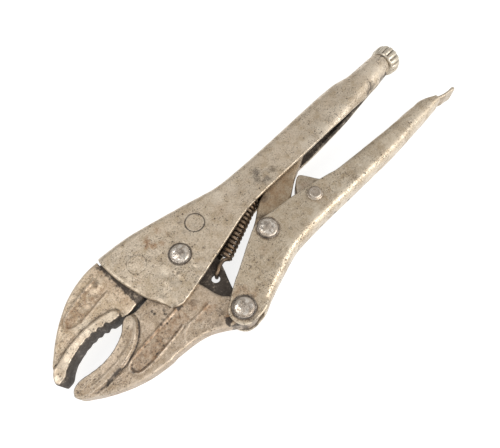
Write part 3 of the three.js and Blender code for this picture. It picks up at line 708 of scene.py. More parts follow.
UP_BORDER = resample([[-36.0, 10.6], [-41.0, 9.7], [-47.5, 8.6], [-54.0, 8.0], [-57.6, 8.9], [-59.2, 11.2], [-57.6, 13.9], [-52.5, 16.4], [-45.0, 18.4], [-36.5, 19.9]], 0.8, closed=False)
LO_BORDER = resample([[-17.0, -17.3], [-22.0, -17.9], [-30.0, -18.5], [-40.0, -19.5], [-46.0, -20.2], [-49.2, -21.4], [-50.5, -23.5], [-50.0, -25.8], [-48.0, -27.4],
                      [-45.0, -27.9], [-35.0, -27.4], [-26.0, -26.2], [-21.6, -25.5]], 0.8, closed=False)
LO_BORDER2 = resample([[-25.4, -31.2], [-23.8, -29.0], [-21.6, -27.5], [-14.0, -26.9], [-6.5, -26.4]], 0.8, closed=False)
LO_RIDGE = resample([[-35.9, -9.5], [-38.0, -11.6], [-40.7, -13.6], [-45.3, -15.6], [-50.3, -17.0], [-55.0, -17.6], [-60.0, -17.8], [-66.0, -17.6]], 0.8, closed=False)


def ridge(q, line, height, width):
    return height * np.exp(-(line_distance(q, line) / width) ** 2)


def upper_height(q, d):
    dl = signed(q, upper_lip)
    near_mouth = smoothstep(4.5, 1.0, line_distance(q, upper_lip, True)) * (q[:, 0] < -30)
    r = np.where(near_mouth > 0.3, 0.7, 1.15)
    h = JAW_HALF - 0.25 * smoothstep(-28, -70, q[:, 0]) + 0 * d
    # the forged body falls away a little towards the back edge
    h -= 0.35 * smoothstep(9.0, 0.5, d) * (dl < -2) * (q[:, 0] < -29)
    h += 0.7 * smoothstep(-66.0, -74.0, q[:, 0])
    h += (LIP_HALF + 0.8 * smoothstep(-66.0, -74.0, q[:, 0]) - h) * smoothstep(-0.35, 0.55, dl)
    h -= 0.55 * np.exp(-((dl + 0.75) / 0.55) ** 2)
    h += ridge(q, UP_BORDER, 0.52, 0.55) * (q[:, 0] < -29)
    panel = inside(q, UP_BORDER)
    h -= 0.16 * panel * smoothstep(0.2, 1.2, line_distance(q, UP_BORDER)) * (q[:, 0] < -31)
    co = np.stack([q[:, 0], q[:, 1], np.zeros(len(q))], 1)
    h += 0.09 * noise3(co, 0.16, 1) + 0.07 * noise3(co, 0.5, 2) * (0.5 + 2.6 * panel)
    h -= np.where(d < r, r - np.sqrt(np.maximum(r * r - (r - np.minimum(d, r)) ** 2, 0)), 0.0)
    return np.maximum(h, 1.2)


def lower_height(q, d):
    dl = signed(q, lower_lip)
    near_mouth = smoothstep(4.5, 1.0, line_distance(q, lower_lip, True)) * (q[:, 0] < -30)
    r = np.where((near_mouth > 0.3) | (q[:, 1] > -8.0), 0.7, 1.25)
    h = JAW_HALF - 0.2 * smoothstep(-28, -70, q[:, 0]) + 0 * d
    h -= 0.4 * smoothstep(7.5, 0.5, d) * (dl < -2) * (q[:, 0] < -14)
    h += (LIP_HALF - 0.35 - h) * smoothstep(-0.3, 0.6, dl)
    h += ridge(q, LO_RIDGE, 0.42, 0.8)
    h -= 0.55 * np.exp(-((dl + 0.8) / 0.6) ** 2)
    h += ridge(q, LO_BORDER, 0.52, 0.5) + ridge(q, LO_BORDER2, 0.45, 0.55)
    panel = inside(q, LO_BORDER)
    h -= 0.30 * panel * smoothstep(0.2, 1.2, line_distance(q, LO_BORDER))
    co = np.stack([q[:, 0], q[:, 1], np.zeros(len(q))], 1)
    h += 0.09 * noise3(co, 0.16, 5) + 0.08 * noise3(co, 0.5, 6) * (0.6 + 2.4 * panel)
    # the part inside the upper handle is machined flat
    flat = smoothstep(-27, -23, q[:, 0] + 0.35 * (q[:, 1] + 4)) * (q[:, 1] > -16)
    h = h * (1 - flat) + np.minimum(h, JAW_HALF) * flat
    h -= np.where(d < r, r - np.sqrt(np.maximum(r * r - (r - np.minimum(d, r)) ** 2, 0)), 0.0)
    return np.maximum(h, 1.2)


lines_u = [UP_BORDER + [0, 0.5], UP_BORDER, UP_BORDER - [0, 0.5]]
lines_l = [LO_BORDER + [0, 0.5], LO_BORDER, LO_BORDER - [0, 0.5], LO_RIDGE, LO_BORDER2, LO_BORDER2 + [0, 0.5]]
upper_me = dense_plate(upper_outline, upper_height, 0.62, extra=lines_u)

circle = lambda c, r, n=72: np.array([[c[0] + r * math.cos(a), c[1] + r * math.sin(a)] for a in np.linspace(0, 2 * math.pi, n, endpoint=False)])


def flat_height(half, r):
    f = rounded(r)
    return lambda q, d: half - f(d)


lower_plate = dense_plate(lower_outline, lower_height, 0.62, extra=lines_l)
ear_p = dense_plate(circle(P, 8.9), flat_height(JAW_HALF - 0.02, 0.4), 1.2, rings=(0.2, 0.6))
ear_a = dense_plate(circle(A, 7.0), flat_height(JAW_HALF - 0.02, 0.5), 1.2, rings=(0.2, 0.6))


def ring_plate(outline, hole, half, r, step=0.7):
    """Plate with a round hole, made by a boolean cut."""
    me = dense_plate(outline, flat_height(half, r), step, rings=(0.12, 0.35, 0.7))
    ob = new_object("cut_a", me)
    n = 40
    verts = [(hole[0] + hole[2] * math.cos(2 * math.pi * i / n), hole[1] + hole[2] * math.sin(2 * math.pi * i / n), s) for s in (-20, 20) for i in range(n)]
    faces = [list(range(n))[::-1], [n + i for i in range(n)]] + [[i, (i + 1) % n, n + (i + 1) % n, n + i] for i in range(n)]
    cut = new_object("cut_b", mesh_of("c", verts, faces))
    m = ob.modifiers.new("b", "BOOLEAN")
    m.operation, m.solver, m.object = "DIFFERENCE", "EXACT", cut
    out = bpy.data.meshes.new_from_object(ob.evaluated_get(bpy.context.evaluated_depsgraph_get()))
    bpy.data.objects.remove(ob)
    bpy.data.objects.remove(cut)
    return out


tab_me = ring_plate(resample(TAB, 0.6), (4.6, -18.8, 2.1), TAB_HALF, 0.35)
VOXEL = 0.30
lower_me = remeshed("lower_jaw_skin", [lower_plate, ear_p, ear_a, tab_me], VOXEL, 3)
# serrations of the lower jaw lie between its lips
co, no = coords(lower_me), normals(lower_me)
mouth = np.asarray(LOWER_JAW[6:18], float)
wall = (line_distance(co[:, :2], mouth) < 1.6) & (co[:, 0] < -41.5)
cut = np.zeros(len(co))
for x in LOWER_TEETH:
    cut = np.maximum(cut, np.clip(1 - (np.abs(co[:, 0] - x) / 1.1) ** 1.6, 0, 1))
cut *= wall * smoothstep(5.3, 4.6, np.abs(co[:, 2])) * 0.75
co[:, 1] -= cut
set_coords(lower_me, co)

# ---------------------------------------------------------------- upper handle
side = np.array(FRAME_SIDE[:9], float)                       # front edge, from the back corner to the lower corner
front_y = pchip(side[::-1, 1], side[::-1, 0])
low = np.array(FRAME_SIDE[8:23], float)
low_edge = pchip(np.concatenate([[-31.0], low[:, 0], [95.0, 200.0]]), np.concatenate([[-14.0], low[:, 1], [-4.9, -30.0]]))
xs_frame = np.concatenate([np.arange(-29.3, 8, 0.7), np.arange(8.0, 60, 1.1), np.arange(60, 120, 1.5), np.arange(120, 162.0, 1.0), [162.0]])
frame_me = channel(FRAME_STATIONS, 1, xs_frame, front=lambda y: front_y(np.clip(y, -16.6, 27.5)), edge_line=low_edge, end_round=0.6, flank=44, back=7)
co = coords(frame_me)
no = normals(frame_me)
wav = 0.10 * noise3(co, 0.07, 11) + 0.035 * noise3(co, 0.35, 12)
# small blows on the lower front corner and near the front rivet, and the edges of the joint at the nose
dents = [(-18.5, -15.5, 1.6, 0.35), (-14.0, -16.8, 1.3, 0.30), (-10.5, -15.5, 1.1, 0.22), (-7.5, -16.2, 0.9, 0.30), (-12.0, -2.0, 2.4, 0.20), (-14.5, -9.5, 1.6, 0.14),
         (-16.0, 12.0, 2.2, 0.16), (-13.0, 9.0, 1.0, 0.16), (32.0, 9.5, 2.4, 0.14), (27.0, 12.0, 1.6, 0.12), (37.0, 7.0, 1.3, 0.14), (-5.0, -6.5, 1.0, 0.16), (44.0, 8.0, 1.5, 0.12), (60.0, 4.0, 1.6, 0.12),
         (88.0, 2.0, 1.2, 0.10), (8.0, 12.0, 1.0, 0.12)]
rng_d = np.random.default_rng(19)
dents += [(rng_d.uniform(-19, 6), rng_d.uniform(-16, -4), rng_d.uniform(0.8, 1.5), rng_d.uniform(0.12, 0.34)) for _ in range(26)]
dents += [(rng_d.uniform(-27, 60), rng_d.uniform(-3, 22), rng_d.uniform(0.8, 1.3), rng_d.uniform(0.06, 0.16)) for _ in range(30)]
flank_up = (no[:, 2] > 0.5) & (co[:, 2] > 5)
for x, y, s, dep in dents:
    r2 = ((co[:, 0] - x) ** 2 + (co[:, 1] - y) ** 2) / s ** 2
    wav -= dep * np.exp(-r2) * flank_up
    r3 = ((co[:, 0] - x * 0.8 - 6) ** 2 + (co[:, 1] + y * 0.7 - 6) ** 2) / s ** 2
    wav -= dep * 0.8 * np.exp(-r3) * (no[:, 2] < -0.5) * (co[:, 2] < -5)
rim_low = smoothstep(2.2, 0.3, line_distance(co[:, :2], FRAME_SIDE[6:14]))
wav -= np.clip(noise3(co, 0.9, 14, 2) * 0.55 + 0.05, 0, 0.4) * rim_low * (np.abs(co[:, 2]) > 5)
keep_end = smoothstep(162.0, 155.0, co[:, 0])
set_coords(frame_me, co + no * (np.minimum(wav, 0.0) * keep_end)[:, None])

lug_me = ring_plate(resample(LUG, 0.7), (57.0, 2.6, 2.2), 1.1, 0.3, 0.9)

# ---------------------------------------------------------------- lower handle
hside = np.array(HANDLE_SIDE[:17], float)
up_edge = pchip(np.concatenate([[-6.0], hside[:, 0], [95.0, 200.0]]), np.concatenate([[36.0], -hside[:, 1], [22.3, 10.0]]))
# the lower handle's rows are distances towards -Y, so its edge line is the smaller of the two in that sense
hs = np.array(HANDLE_STATIONS, float)
xs_handle = np.concatenate([np.arange(8.8, 60, 1.2), np.arange(60, 150, 1.4), np.arange(150, 161.6, 0.8), [161.6]])
handle_ch = channel(HANDLE_STATIONS, -1, xs_handle, edge_line=up_edge, end_round=0.8, flank=22, back=7)
hc = coords(handle_ch)                                # the end is drawn down towards the tail of the lever
squash = 1 - 0.56 * smoothstep(150.5, 162.5, hc[:, 0])
hc[:, 1] = -33.9 + (hc[:, 1] + 33.9) * squash
set_coords(handle_ch, hc)
lobe = resample([[0.9, -32.4], [6.9, -28.6], [11.0, -26.3], [13.0, -30.0], [13.0, -42.0], [13.0, -45.3], [9.8, -46.7], [6.0, -47.1], [2.6, -47.2], [-1.0, -46.2], [-3.7, -43.1], [-4.6, -39.4], [-3.9, -36.1]], 0.5, corner=60)


def lobe_side(s):
    me = dense_plate(lobe, flat_height(SHEET / 2, 0.75), 0.8, rings=(0.1, 0.3, 0.6, 0.9))
    c = coords(me)
    c[:, 2] += s * (HALF_WIDTH - SHEET / 2)
    set_coords(me, c)
    return me


handle_me = remeshed("handle_skin", [handle_ch, lobe_side(1), lobe_side(-1)], 0.36, 3)
co = coords(handle_me)
no = normals(handle_me)
wav = 0.09 * noise3(co, 0.07, 21) + 0.03 * noise3(co, 0.35, 22)
outer_nicks = [(62.0, -35.7, -3.0, 1.2, 0.5), (72.0, -35.7, -3.0, 1.3, 0.5), (82.5, -35.9, -3.0, 1.2, 0.45), (96.0, -36.0, -3.5, 0.8, 0.3)]
nicks = [ (20.5, -38.5, 1.0, 0.30), (28.5, -36.3, 1.0, 0.25), (33.0, -37.0, 0.7, 0.3), (43.0, -36.0, 0.8, 0.25),
         (104.0, -36.0, 1.2, 0.3), (9.0, -38.0, 1.8, 0.2)]
for x, y, s, dep in nicks:
    r2 = ((co[:, 0] - x) ** 2 + (co[:, 1] - y) ** 2 + (co[:, 2] - 7.0) ** 2 * 0.5) / s ** 2
    wav -= dep * np.exp(-r2)
for x, y, z, s, dep in outer_nicks:
    wav -= dep * np.exp(-((co[:, 0] - x) ** 2 + (co[:, 1] - y) ** 2 + (co[:, 2] - z) ** 2) / s ** 2)
# a shallow scratch on the flank
wav -= 0.10 * np.exp(-(line_distance(co[:, :2], [[27.2, -25.2], [26.0, -28.0], [24.9, -31.4]]) / 0.35) ** 2) * (no[:, 2] > 0.5)
set_coords(handle_me, co + no * np.minimum(wav, 0.0)[:, None])

# ---------------------------------------------------------------- link, release lever
link_me = dense_plate(resample(LINK, 0.6), flat_height(LINK_HALF, 1.0), 1.0, rings=(0.1, 0.3, 0.6, 1.0))
nose_me = dense_plate(resample(LEVER_NOSE, 0.5, corner=60), flat_height(NOSE_HALF, 0.9), 0.9, rings=(0.1, 0.3, 0.6, 0.9))


def lever_bar():
    """Bar and S-shaped tail: its side view swept across a plan width."""
    o = ccw(resample(LEVER_BAR, 0.6, corner=60))
    plan = np.array(LEVER_PLAN, float)
    width = pchip(plan[:, 0], plan[:, 1])
    f = rounded(0.9)
    return dense_plate(o, lambda q, d: np.maximum(width(q[:, 0]) - f(d) - 0.4 * smoothstep(172.5, 175.2, q[:, 0]), 0.4), 0.7, rings=(0.12, 0.35, 0.7))


lever_me = remeshed("lever_skin", [nose_me, lever_bar()], 0.30, 3)

# ---------------------------------------------------------------- adjusting screw
PITCH = 1.25


def thread(x, r, ang):
    ph = ((x / PITCH) - ang / (2 * math.pi)) % 1.0
    cut = 0.55 * (1 - np.abs(2 * ph - 1)) ** 0.9
    fade = smoothstep(108.6, 110.5, x) * smoothstep(161.0, 158.5, x)
    return r - cut * fade


def knob(x, r, ang):
    """Coin-edged knob: broad rounded lobes with narrow grooves between them."""
    f = smoothstep(162.9, 163.8, x) * smoothstep(171.05, 170.2, x)
    k = np.abs(np.sin(ang * 7 + 0.2))                      # 14 lobes
    groove = 0.95 * (1 - k) ** 1.6 * f
    return r - groove - 0.05 * f * np.sin(ang * 3 + 1.0)


shank = [(3.7, 108.3), (4.3, 108.6), (4.6, 109.2)] + [(4.6, x) for x in np.arange(109.5, 162.35, 0.156)]
kn = pchip([162.3, 162.6, 163.9, 165.2, 166.4, 167.8, 169.0, 170.0, 170.6, 170.95], [6.8, 7.3, 8.0, 8.35, 8.45, 8.35, 8.05, 7.5, 6.7, 5.7])
knob_prof = [(4.6, 162.35), (6.9, 162.36)] + [(float(kn(x)), float(x)) for x in np.concatenate([np.linspace(162.4, 163.9, 9), np.linspace(164.2, 170.0, 20), np.linspace(170.15, 170.95, 7)])]
knob_prof += [(5.2, 171.0), (4.2, 170.98), (3.4, 170.7), (2.6, 170.55), (1.2, 170.5)]


def screw_radius(x, r, ang):
    return thread(x, r, ang) if x < 162.34 else (knob(x, r, ang) if r > 5.7 else np.full(len(ang), r))


screw_me = revolve_x(shank + knob_prof, 144, screw_radius)
nose_scr_me = revolve_x([(1.6, 100.42), (2.4, 100.4), (2.9, 100.55), (3.25, 100.9), (3.4, 101.4), (3.4, 104.5), (3.35, 107.9), (2.8, 108.0)], 48)

# ---------------------------------------------------------------- spring
def spring_path():
    a, b = np.array([15.5, -14.0, 0]), np.array([46.5, -1.85, 0])
    u = b - a
    ln = np.linalg.norm(u)
    u /= ln
    v, w = np.array([-u[1], u[0], 0]), np.array([0, 0, 1.0])
    at = lambda s, p, q: a + u * s + v * p + w * q
    h1, h2 = np.array([4.6, -18.8, 0]) - a, np.array([57.0, 2.6, 0]) - a
    s1, p1, s2, p2 = h1 @ u, h1 @ v, h2 @ u, h2 @ v
    pts = [at(s1 + 2.9, p1 + 0.9, -2.6), at(s1 + 1.6, p1 + 0.4, -2.2), at(s1 + 1.35, p1 + 0.25, -1.0), at(s1 + 1.35, p1 + 0.25, 0.6), at(s1 + 2.0, p1 + 0.4, 2.0), at(s1 + 3.6, p1 * 0.6, 2.6), at(s1 + 5.6, 0.2, 2.7), at(-3.0, -0.2, 2.4), at(-1.4, -1.2, 1.6)]
    turns, per = 14, 22
    for i in range(turns * per + 1):
        f = i / (turns * per)
        ang = -math.pi / 2 + f * turns * 2 * math.pi
        pts.append(at(f * ln, 2.75 * math.sin(ang), 2.75 * math.cos(ang)))
    pts += [at(ln + 1.6, -1.4, 1.4), at(ln + 3.4, -0.3, 2.3), at(s2 - 2.6, p2 * 0.7, 3.0), at(s2 - 0.5, p2 + 0.1, 2.3), at(s2 - 0.2, p2 + 0.1, 0), at(s2 - 0.2, p2 + 0.1, -2.9)]
    return smooth_path(pts, 0.7)


spring_me = sweep(spring_path(), 0.95, 14)


# ---------------------------------------------------------------- wear, grime and rust, painted as vertex values; the grime values also hold painted shade and the wear values painted highlights
def blobs(co, no, spots, seed):
    """Soft irregular spots. A spot is (x, y, radius, strength) on the upper face, or with a fifth number -1 below."""
    out = np.zeros(len(co))
    if not spots:
        return out
    wob = noise3(co, 0.35, seed, 3)
    for s in spots:
        x, y, r, k = s[:4]
        face = s[4] if len(s) > 4 else 1
        d = np.sqrt((co[:, 0] - x) ** 2 + (co[:, 1] - y) ** 2) / r + 0.55 * wob
        on = smoothstep(-0.2, 0.3, no[:, 2] * face + 0.15)
        out = np.maximum(out, k * smoothstep(1.15, 0.35, d) * on)
    return out


def paint(me, grime_and_shade=(), rust=(), wear_and_highlight=(), extra_grime_and_shade=None, extra_rust=None, extra_wear_and_highlight=None, seed=1, edge_gain=1.0, hollow_gain=1.0):
    co, no = coords(me), normals(me)
    c = curvature(me, 2)
    edge = np.clip(c * 1.6 * edge_gain, 0, 1)
    hollow = np.clip(-c * 2.6 * hollow_gain, 0, 1)
    under = [(s[0] + 5, s[1] - 2, s[2], s[3] * 0.8, -1) for s in grime_and_shade]
    under_r = [(s[0] - 6, s[1] + 3, s[2], s[3] * 0.9, -1) for s in rust]
    g = np.maximum(hollow, blobs(co, no, list(grime_and_shade) + under, seed))
    r = blobs(co, no, list(rust) + under_r, seed + 1)
    w = np.maximum(edge, blobs(co, no, list(wear_and_highlight), seed + 2))
    if extra_grime_and_shade is not None:
        g = np.maximum(g, extra_grime_and_shade(co, no))
    if extra_rust is not None:
        r = np.maximum(r, extra_rust(co, no))
    if extra_wear_and_highlight is not None:
        w = np.maximum(w, extra_wear_and_highlight(co, no))
    # the grime values hold dirt and painted shade, the wear values hold wear and painted highlights
    for name, v in (("grime_and_shade", g), ("rust", r), ("wear_and_highlight", w)):
        at = me.attributes.new(name, "FLOAT", "POINT")
        at.data.foreach_set("value", np.clip(v, 0, 1).astype(np.float32))


def halo(co, c, r0, r1, s):
    d = np.sqrt((co[:, 0] - c[0]) ** 2 + (co[:, 1] - c[1]) ** 2)
    return s * smoothstep(r1, r0, d)


# upper jaw
teeth_band_u = resample([p for p in UPPER_JAW[9:25]], 0.5, closed=False)
paint(upper_me,
      grime_and_shade=[(-36.5, 17.5, 2.6, 0.42), (-57.0, 10.5, 1.6, 0.30), (-73.0, -6.6, 1.2, 0.5)],
      rust=[(-57.0, 11.8, 3.2, 0.85), (-36.0, 12.0, 3.0, 0.35), (-61.0, 5.0, 2.5, 0.30)],
      wear_and_highlight=[(-52.0, 2.4, 7.0, 0.5), (-62.0, 0.8, 5.0, 0.5), (-68.0, -0.6, 4.0, 0.55), (-75.2, -4.0, 2.4, 1.0), (-42.0, 0.8, 4.0, 0.5)],
      extra_rust=lambda co, no: ((0.42 + 0.5 * noise3(co, 0.5, 38)) * inside(co[:, :2], UP_BORDER) * (co[:, 0] < -31) + 0.35 * smoothstep(-37.0, -31.0, co[:, 0])) * (no[:, 2] > 0.3),
      # painted shade on the teeth faces, on the part inside the frame and on the down-facing side walls behind the
      # mouth; the band along the frame's front edge is painted shadow with some dirt
      extra_grime_and_shade=lambda co, no: np.where((line_distance(co[:, :2], teeth_band_u) < 1.5) & (np.abs(no[:, 2]) < 0.6) & (no[:, 1] < 0.3), 1.0, 0.0)
      + 0.85 * (co[:, 0] > -29.8) + 0.95 * ((np.abs(no[:, 2]) < 0.5) & (co[:, 1] < -1) & (co[:, 0] > -39.5))
      + 0.9 * smoothstep(3.4, 0.6, line_distance(co[:, :2], FRAME_SIDE[:9]) + 2.6 * noise3(co, 0.42, 33)) * (no[:, 2] > 0.3),
      seed=31)
# lower jaw
teeth_band_l = resample([p for p in LOWER_JAW[4:18]], 0.5, closed=False)
paint(lower_me,
      grime_and_shade=[(-27.0, -10.5, 1.0, 0.8), (-26.8, -12.3, 0.9, 0.8), (-22.8, -14.0, 1.0, 0.7), (-23.6, -15.8, 0.9, 0.7), (-26.0, -17.0, 1.0, 0.7), (-28.0, -17.9, 0.9, 0.6), (-17.5, -17.8, 1.8, 0.8),
             (-49.0, -24.5, 1.6, 0.6), (-39.0, -24.0, 0.9, 0.55), (-10.0, -36.0, 3.4, 0.45), (-5.5, -38.5, 2.4, 0.95), (-4.6, -42.0, 2.6, 0.9), (-2.5, -45.0, 2.6, 0.85), (-6.0, -33.0, 3.0, 0.4), (-11.0, -21.0, 3.2, 0.4)],
      rust=[(-47.0, -24.0, 3.0, 0.6), (-8.0, -27.6, 3.2, 0.75), (-14.0, -28.4, 3.0, 0.4), (-12.5, -21.5, 2.6, 0.45), (-4.0, -36.5, 2.0, 0.6), (-55.0, -23.0, 4.0, 0.2)],
      wear_and_highlight=[(-50.0, -15.0, 6.0, 0.12), (-62.0, -15.5, 5.0, 0.12), (-38.5, -8.5, 3.5, 0.35), (-16.0, -29.5, 3.0, 0.4)],
      extra_rust=lambda co, no: ((0.42 + 0.5 * noise3(co, 0.5, 39)) * inside(co[:, :2], np.concatenate([LO_BORDER, [[-17.0, -25.0]]])) + 0.40 * np.exp(-(line_distance(co[:, :2], LO_BORDER[:40]) / 0.6) ** 2)) * (no[:, 2] > 0.3),
      # painted shade: a line under the lip's step, the teeth faces, the recessed tab, the part inside the upper handle,
      # the side walls at the back and those facing the upper jaw
      extra_grime_and_shade=lambda co, no: np.maximum(0.85 * smoothstep(1.3, 0.3, line_distance(co[:, :2], [[-61.5, -21.0], [-58.0, -20.4], [-53.5, -20.0]]) + 0.5 * noise3(co, 0.6, 35)) * (no[:, 2] > 0.2), np.maximum(np.maximum(
          np.where((line_distance(co[:, :2], teeth_band_l) < 1.1) & (np.abs(no[:, 2]) < 0.55) & (no[:, 1] > 0.2), 0.9, 0.0),
          np.where((co[:, 0] > -3.6) & (np.abs(co[:, 2]) < 1.6) & (co[:, 1] < -3) & (co[:, 1] > -36), 0.95, 0.0)),
          0.8 * smoothstep(-26.5, -24.0, co[:, 0] + 0.45 * (co[:, 1] + 4)) * (co[:, 1] > -15.5)
          + 0.7 * np.where((co[:, 0] > -4.2) & (co[:, 1] < -12) & (co[:, 1] > -33) & (np.abs(no[:, 2]) < 0.6), 1.0, 0.0)
          + 0.75 * ((np.abs(no[:, 2]) < 0.5) & (co[:, 1] > -6.8) & (co[:, 0] > -35.0) & (co[:, 0] < -5)))),
      seed=37)
# upper handle
paint(frame_me,
      grime_and_shade=[(56.5, 5.5, 3.0, 0.62), (53.5, 2.0, 3.2, 0.55), (57.0, -1.0, 3.0, 0.60), (64.0, 0.5, 3.2, 0.45), (68.0, 4.0, 2.6, 0.35), (-9.0, 3.0, 1.8, 0.35), (-7.0, -6.5, 1.3, 0.5), (143.0, -0.5, 3.2, 0.65), (139.0, -2.0, 2.4, 0.6),
             (153.0, -0.6, 2.6, 0.6), (-18.0, -16.4, 2.0, 0.45), (11.0, 12.0, 1.6, 0.5), (43.5, 10.6, 0.6, 0.6), (47.5, 10.0, 0.5, 0.6), (9.0, 7.0, 1.4, 0.45), (90.0, 5.5, 2.0, 0.25), (118.0, 6.0, 2.6, 0.2)],
      rust=[(-7.0, 15.5, 3.0, 1.0), (-6.4, 12.2, 2.4, 0.95), (0.5, 16.5, 2.5, 0.6), (-2.5, 10.0, 1.8, 0.7), (2.5, 12.5, 1.6, 0.4), (3.0, -8.5, 2.0, 0.25), (-22.0, 4.0, 3.0, 0.2), (30.0, 3.0, 4.0, 0.18)],
      # the spots at y -1.8 from x 88 to 115 on the lower curl and the large one at x 152 on the tube are painted
      # highlights; the others are wear
      wear_and_highlight=[(100.0, -1.8, 6.0, 0.6), (115.0, -1.8, 8.0, 0.6), (88.0, -1.8, 5.0, 0.5), (152.0, 5.0, 9.0, 0.6), (33.0, 9.5, 4.5, 0.5), (42.0, 10.0, 4.0, 0.4), (50.0, 11.0, 4.0, 0.35), (-12.0, -2.0, 3.0, 0.3), (-15.0, 12.0, 3.0, 0.25)],
      # painted shade on the channel's inner faces and along the slit under the tube; the rings round the rivets are
      # dark joints
      extra_grime_and_shade=lambda co, no: np.where((no[:, 2] * np.sign(co[:, 2]) < -0.3) & (np.abs(co[:, 2]) < 5.6) & (co[:, 0] < 150), 0.8, 0.0)
      + 0.95 * np.exp(-(((np.hypot(co[:, 0] - F2[0], co[:, 1] - F2[1])) - 4.75) / 0.34) ** 2) * (np.abs(no[:, 2]) > 0.5)
      + 0.42 * np.exp(-(((np.hypot(co[:, 0] - F1[0], co[:, 1] - F1[1])) - 4.75) / 0.34) ** 2) * (np.abs(no[:, 2]) > 0.5)
      + 0.6 * np.exp(-(((np.hypot(co[:, 0] - P[0], co[:, 1] - P[1])) - 5.4) / 0.3) ** 2) * (np.abs(no[:, 2]) > 0.5)
      + 0.75 * np.where((co[:, 0] > 128) & (np.abs(co[:, 1] + 0.4 - 0.3) < 0.6) & (np.abs(co[:, 2]) < 2.2), 1.0, 0.0),
      seed=41)
# lower handle
paint(handle_me,
      grime_and_shade=[(20.5, -38.8, 0.8, 0.8), (28.5, -36.5, 0.8, 0.7), (33.0, -37.2, 0.5, 0.8), (43.2, -36.6, 0.6, 0.7), (26.0, -28.5, 1.4, 0.45),
             (24.8, -31.0, 1.0, 0.4), (8.5, -38.0, 1.8, 0.55), (46.0, -28.0, 1.0, 0.35), (52.0, -31.0, 1.3, 0.3), (92.0, -30.0, 1.1, 0.35), (110.0, -29.0, 1.6, 0.25), (2.0, -46.5, 3.0, 0.55)],
      rust=[(8.0, -34.0, 4.0, 0.55), (10.5, -38.5, 2.6, 0.5), (4.0, -32.5, 2.4, 0.4), (30.0, -27.0, 4.0, 0.2), (70.0, -30.0, 5.0, 0.15), (-3.0, -41.0, 2.0, 0.5)],
      # the chain of spots along the rounded lower corner is a painted highlight over wear
      wear_and_highlight=[(25.0, -41.0, 5.0, 0.45), (40.0, -36.5, 7.0, 0.45), (60.0, -35.2, 8.0, 0.45), (80.0, -35.2, 9.0, 0.5), (100.0, -35.4, 9.0, 0.5), (120.0, -35.4, 9.0, 0.5), (140.0, -34.5, 9.0, 0.5), (152.0, -33.6, 5.0, 0.4)],
      # painted shade on the channel's inner faces; the nicks hold dirt, and the rings round the rivets are dark joints
      extra_grime_and_shade=lambda co, no: np.where((no[:, 2] * np.sign(co[:, 2]) < -0.3) & (np.abs(co[:, 2]) < 5.6), 0.6, 0.0)
      + sum(0.9 * np.exp(-((co[:, 0] - x) ** 2 + (co[:, 1] - y) ** 2 + (co[:, 2] - z) ** 2) / (1.1 * s) ** 2) for x, y, z, s, _ in outer_nicks)
      + 0.65 * (np.exp(-((np.hypot(co[:, 0] - A[0], co[:, 1] - A[1]) - 5.85) / 0.40) ** 2) + np.exp(-((np.hypot(co[:, 0] - B[0], co[:, 1] - B[1]) - 5.85) / 0.35) ** 2)
                + 0.6 * np.exp(-((np.hypot(co[:, 0] - D[0], co[:, 1] - D[1]) - 4.1) / 0.35) ** 2)) * (np.abs(no[:, 2]) > 0.4),
      extra_rust=lambda co, no: (halo(co, B, 5.4, 6.8, 0.5) + halo(co, A, 5.6, 7.6, 0.4)) * (np.abs(no[:, 2]) > 0.4),
      seed=43)
paint(link_me, grime_and_shade=[(50.0, -7.0, 3.5, 0.5), (80.0, -1.0, 5.0, 0.5), (42.0, -13.0, 3.0, 0.5)], rust=[(57.0, -8.0, 6.0, 0.55), (50.0, -9.0, 5.0, 0.5), (66.0, -5.0, 6.0, 0.5)],
      # besides an even light darkening, the link gets painted shade towards where it passes under the frame's lower
      # edge
      extra_rust=lambda co, no: np.full(len(co), 0.30), extra_grime_and_shade=lambda co, no: 0.12 + 0.35 * smoothstep(62.0, 50.0, co[:, 0]) * smoothstep(-9.0, -4.0, co[:, 1]), seed=47)
paint(lever_me, grime_and_shade=[(66.0, -20.0, 4.0, 0.45), (73.0, -20.0, 3.0, 0.4), (90.0, -28.0, 6.0, 0.4), (120.0, -28.0, 8.0, 0.4), (150.0, -27.0, 4.0, 0.35)], rust=[(69.0, -17.0, 3.0, 0.4), (159.0, -29.0, 2.0, 0.3)],
      wear_and_highlight=[(170.0, -33.6, 4.0, 0.5), (163.0, -31.5, 2.5, 0.4)], seed=53)
# painted shade on the shank inside the tube and on the knob's face next to the tube end
paint(screw_me, extra_grime_and_shade=lambda co, no: np.where(co[:, 0] < 162.2, 0.75, 0.0) + 0.35 * smoothstep(163.6, 162.4, co[:, 0]), seed=59, hollow_gain=0.9, edge_gain=1.0)
# painted shade: the screw nose sits inside the frame
paint(nose_scr_me, extra_grime_and_shade=lambda co, no: np.full(len(co), 0.6), seed=61)
# the term that rises towards the coil's axis is painted shade inside the coils; the rest is the dark steel's tone and
# rust
paint(spring_me, extra_grime_and_shade=lambda co, no: 0.30 + 0.3 * noise3(co, 0.25, 63) + 0.5 * smoothstep(2.9, 2.2, np.hypot(co[:, 2], (co[:, 1] + 14 - (co[:, 0] - 15.5) * 0.392) * 0.93)), extra_rust=lambda co, no: 0.15 + 0.25 * noise3(co, 0.3, 64), seed=67, edge_gain=0.0)
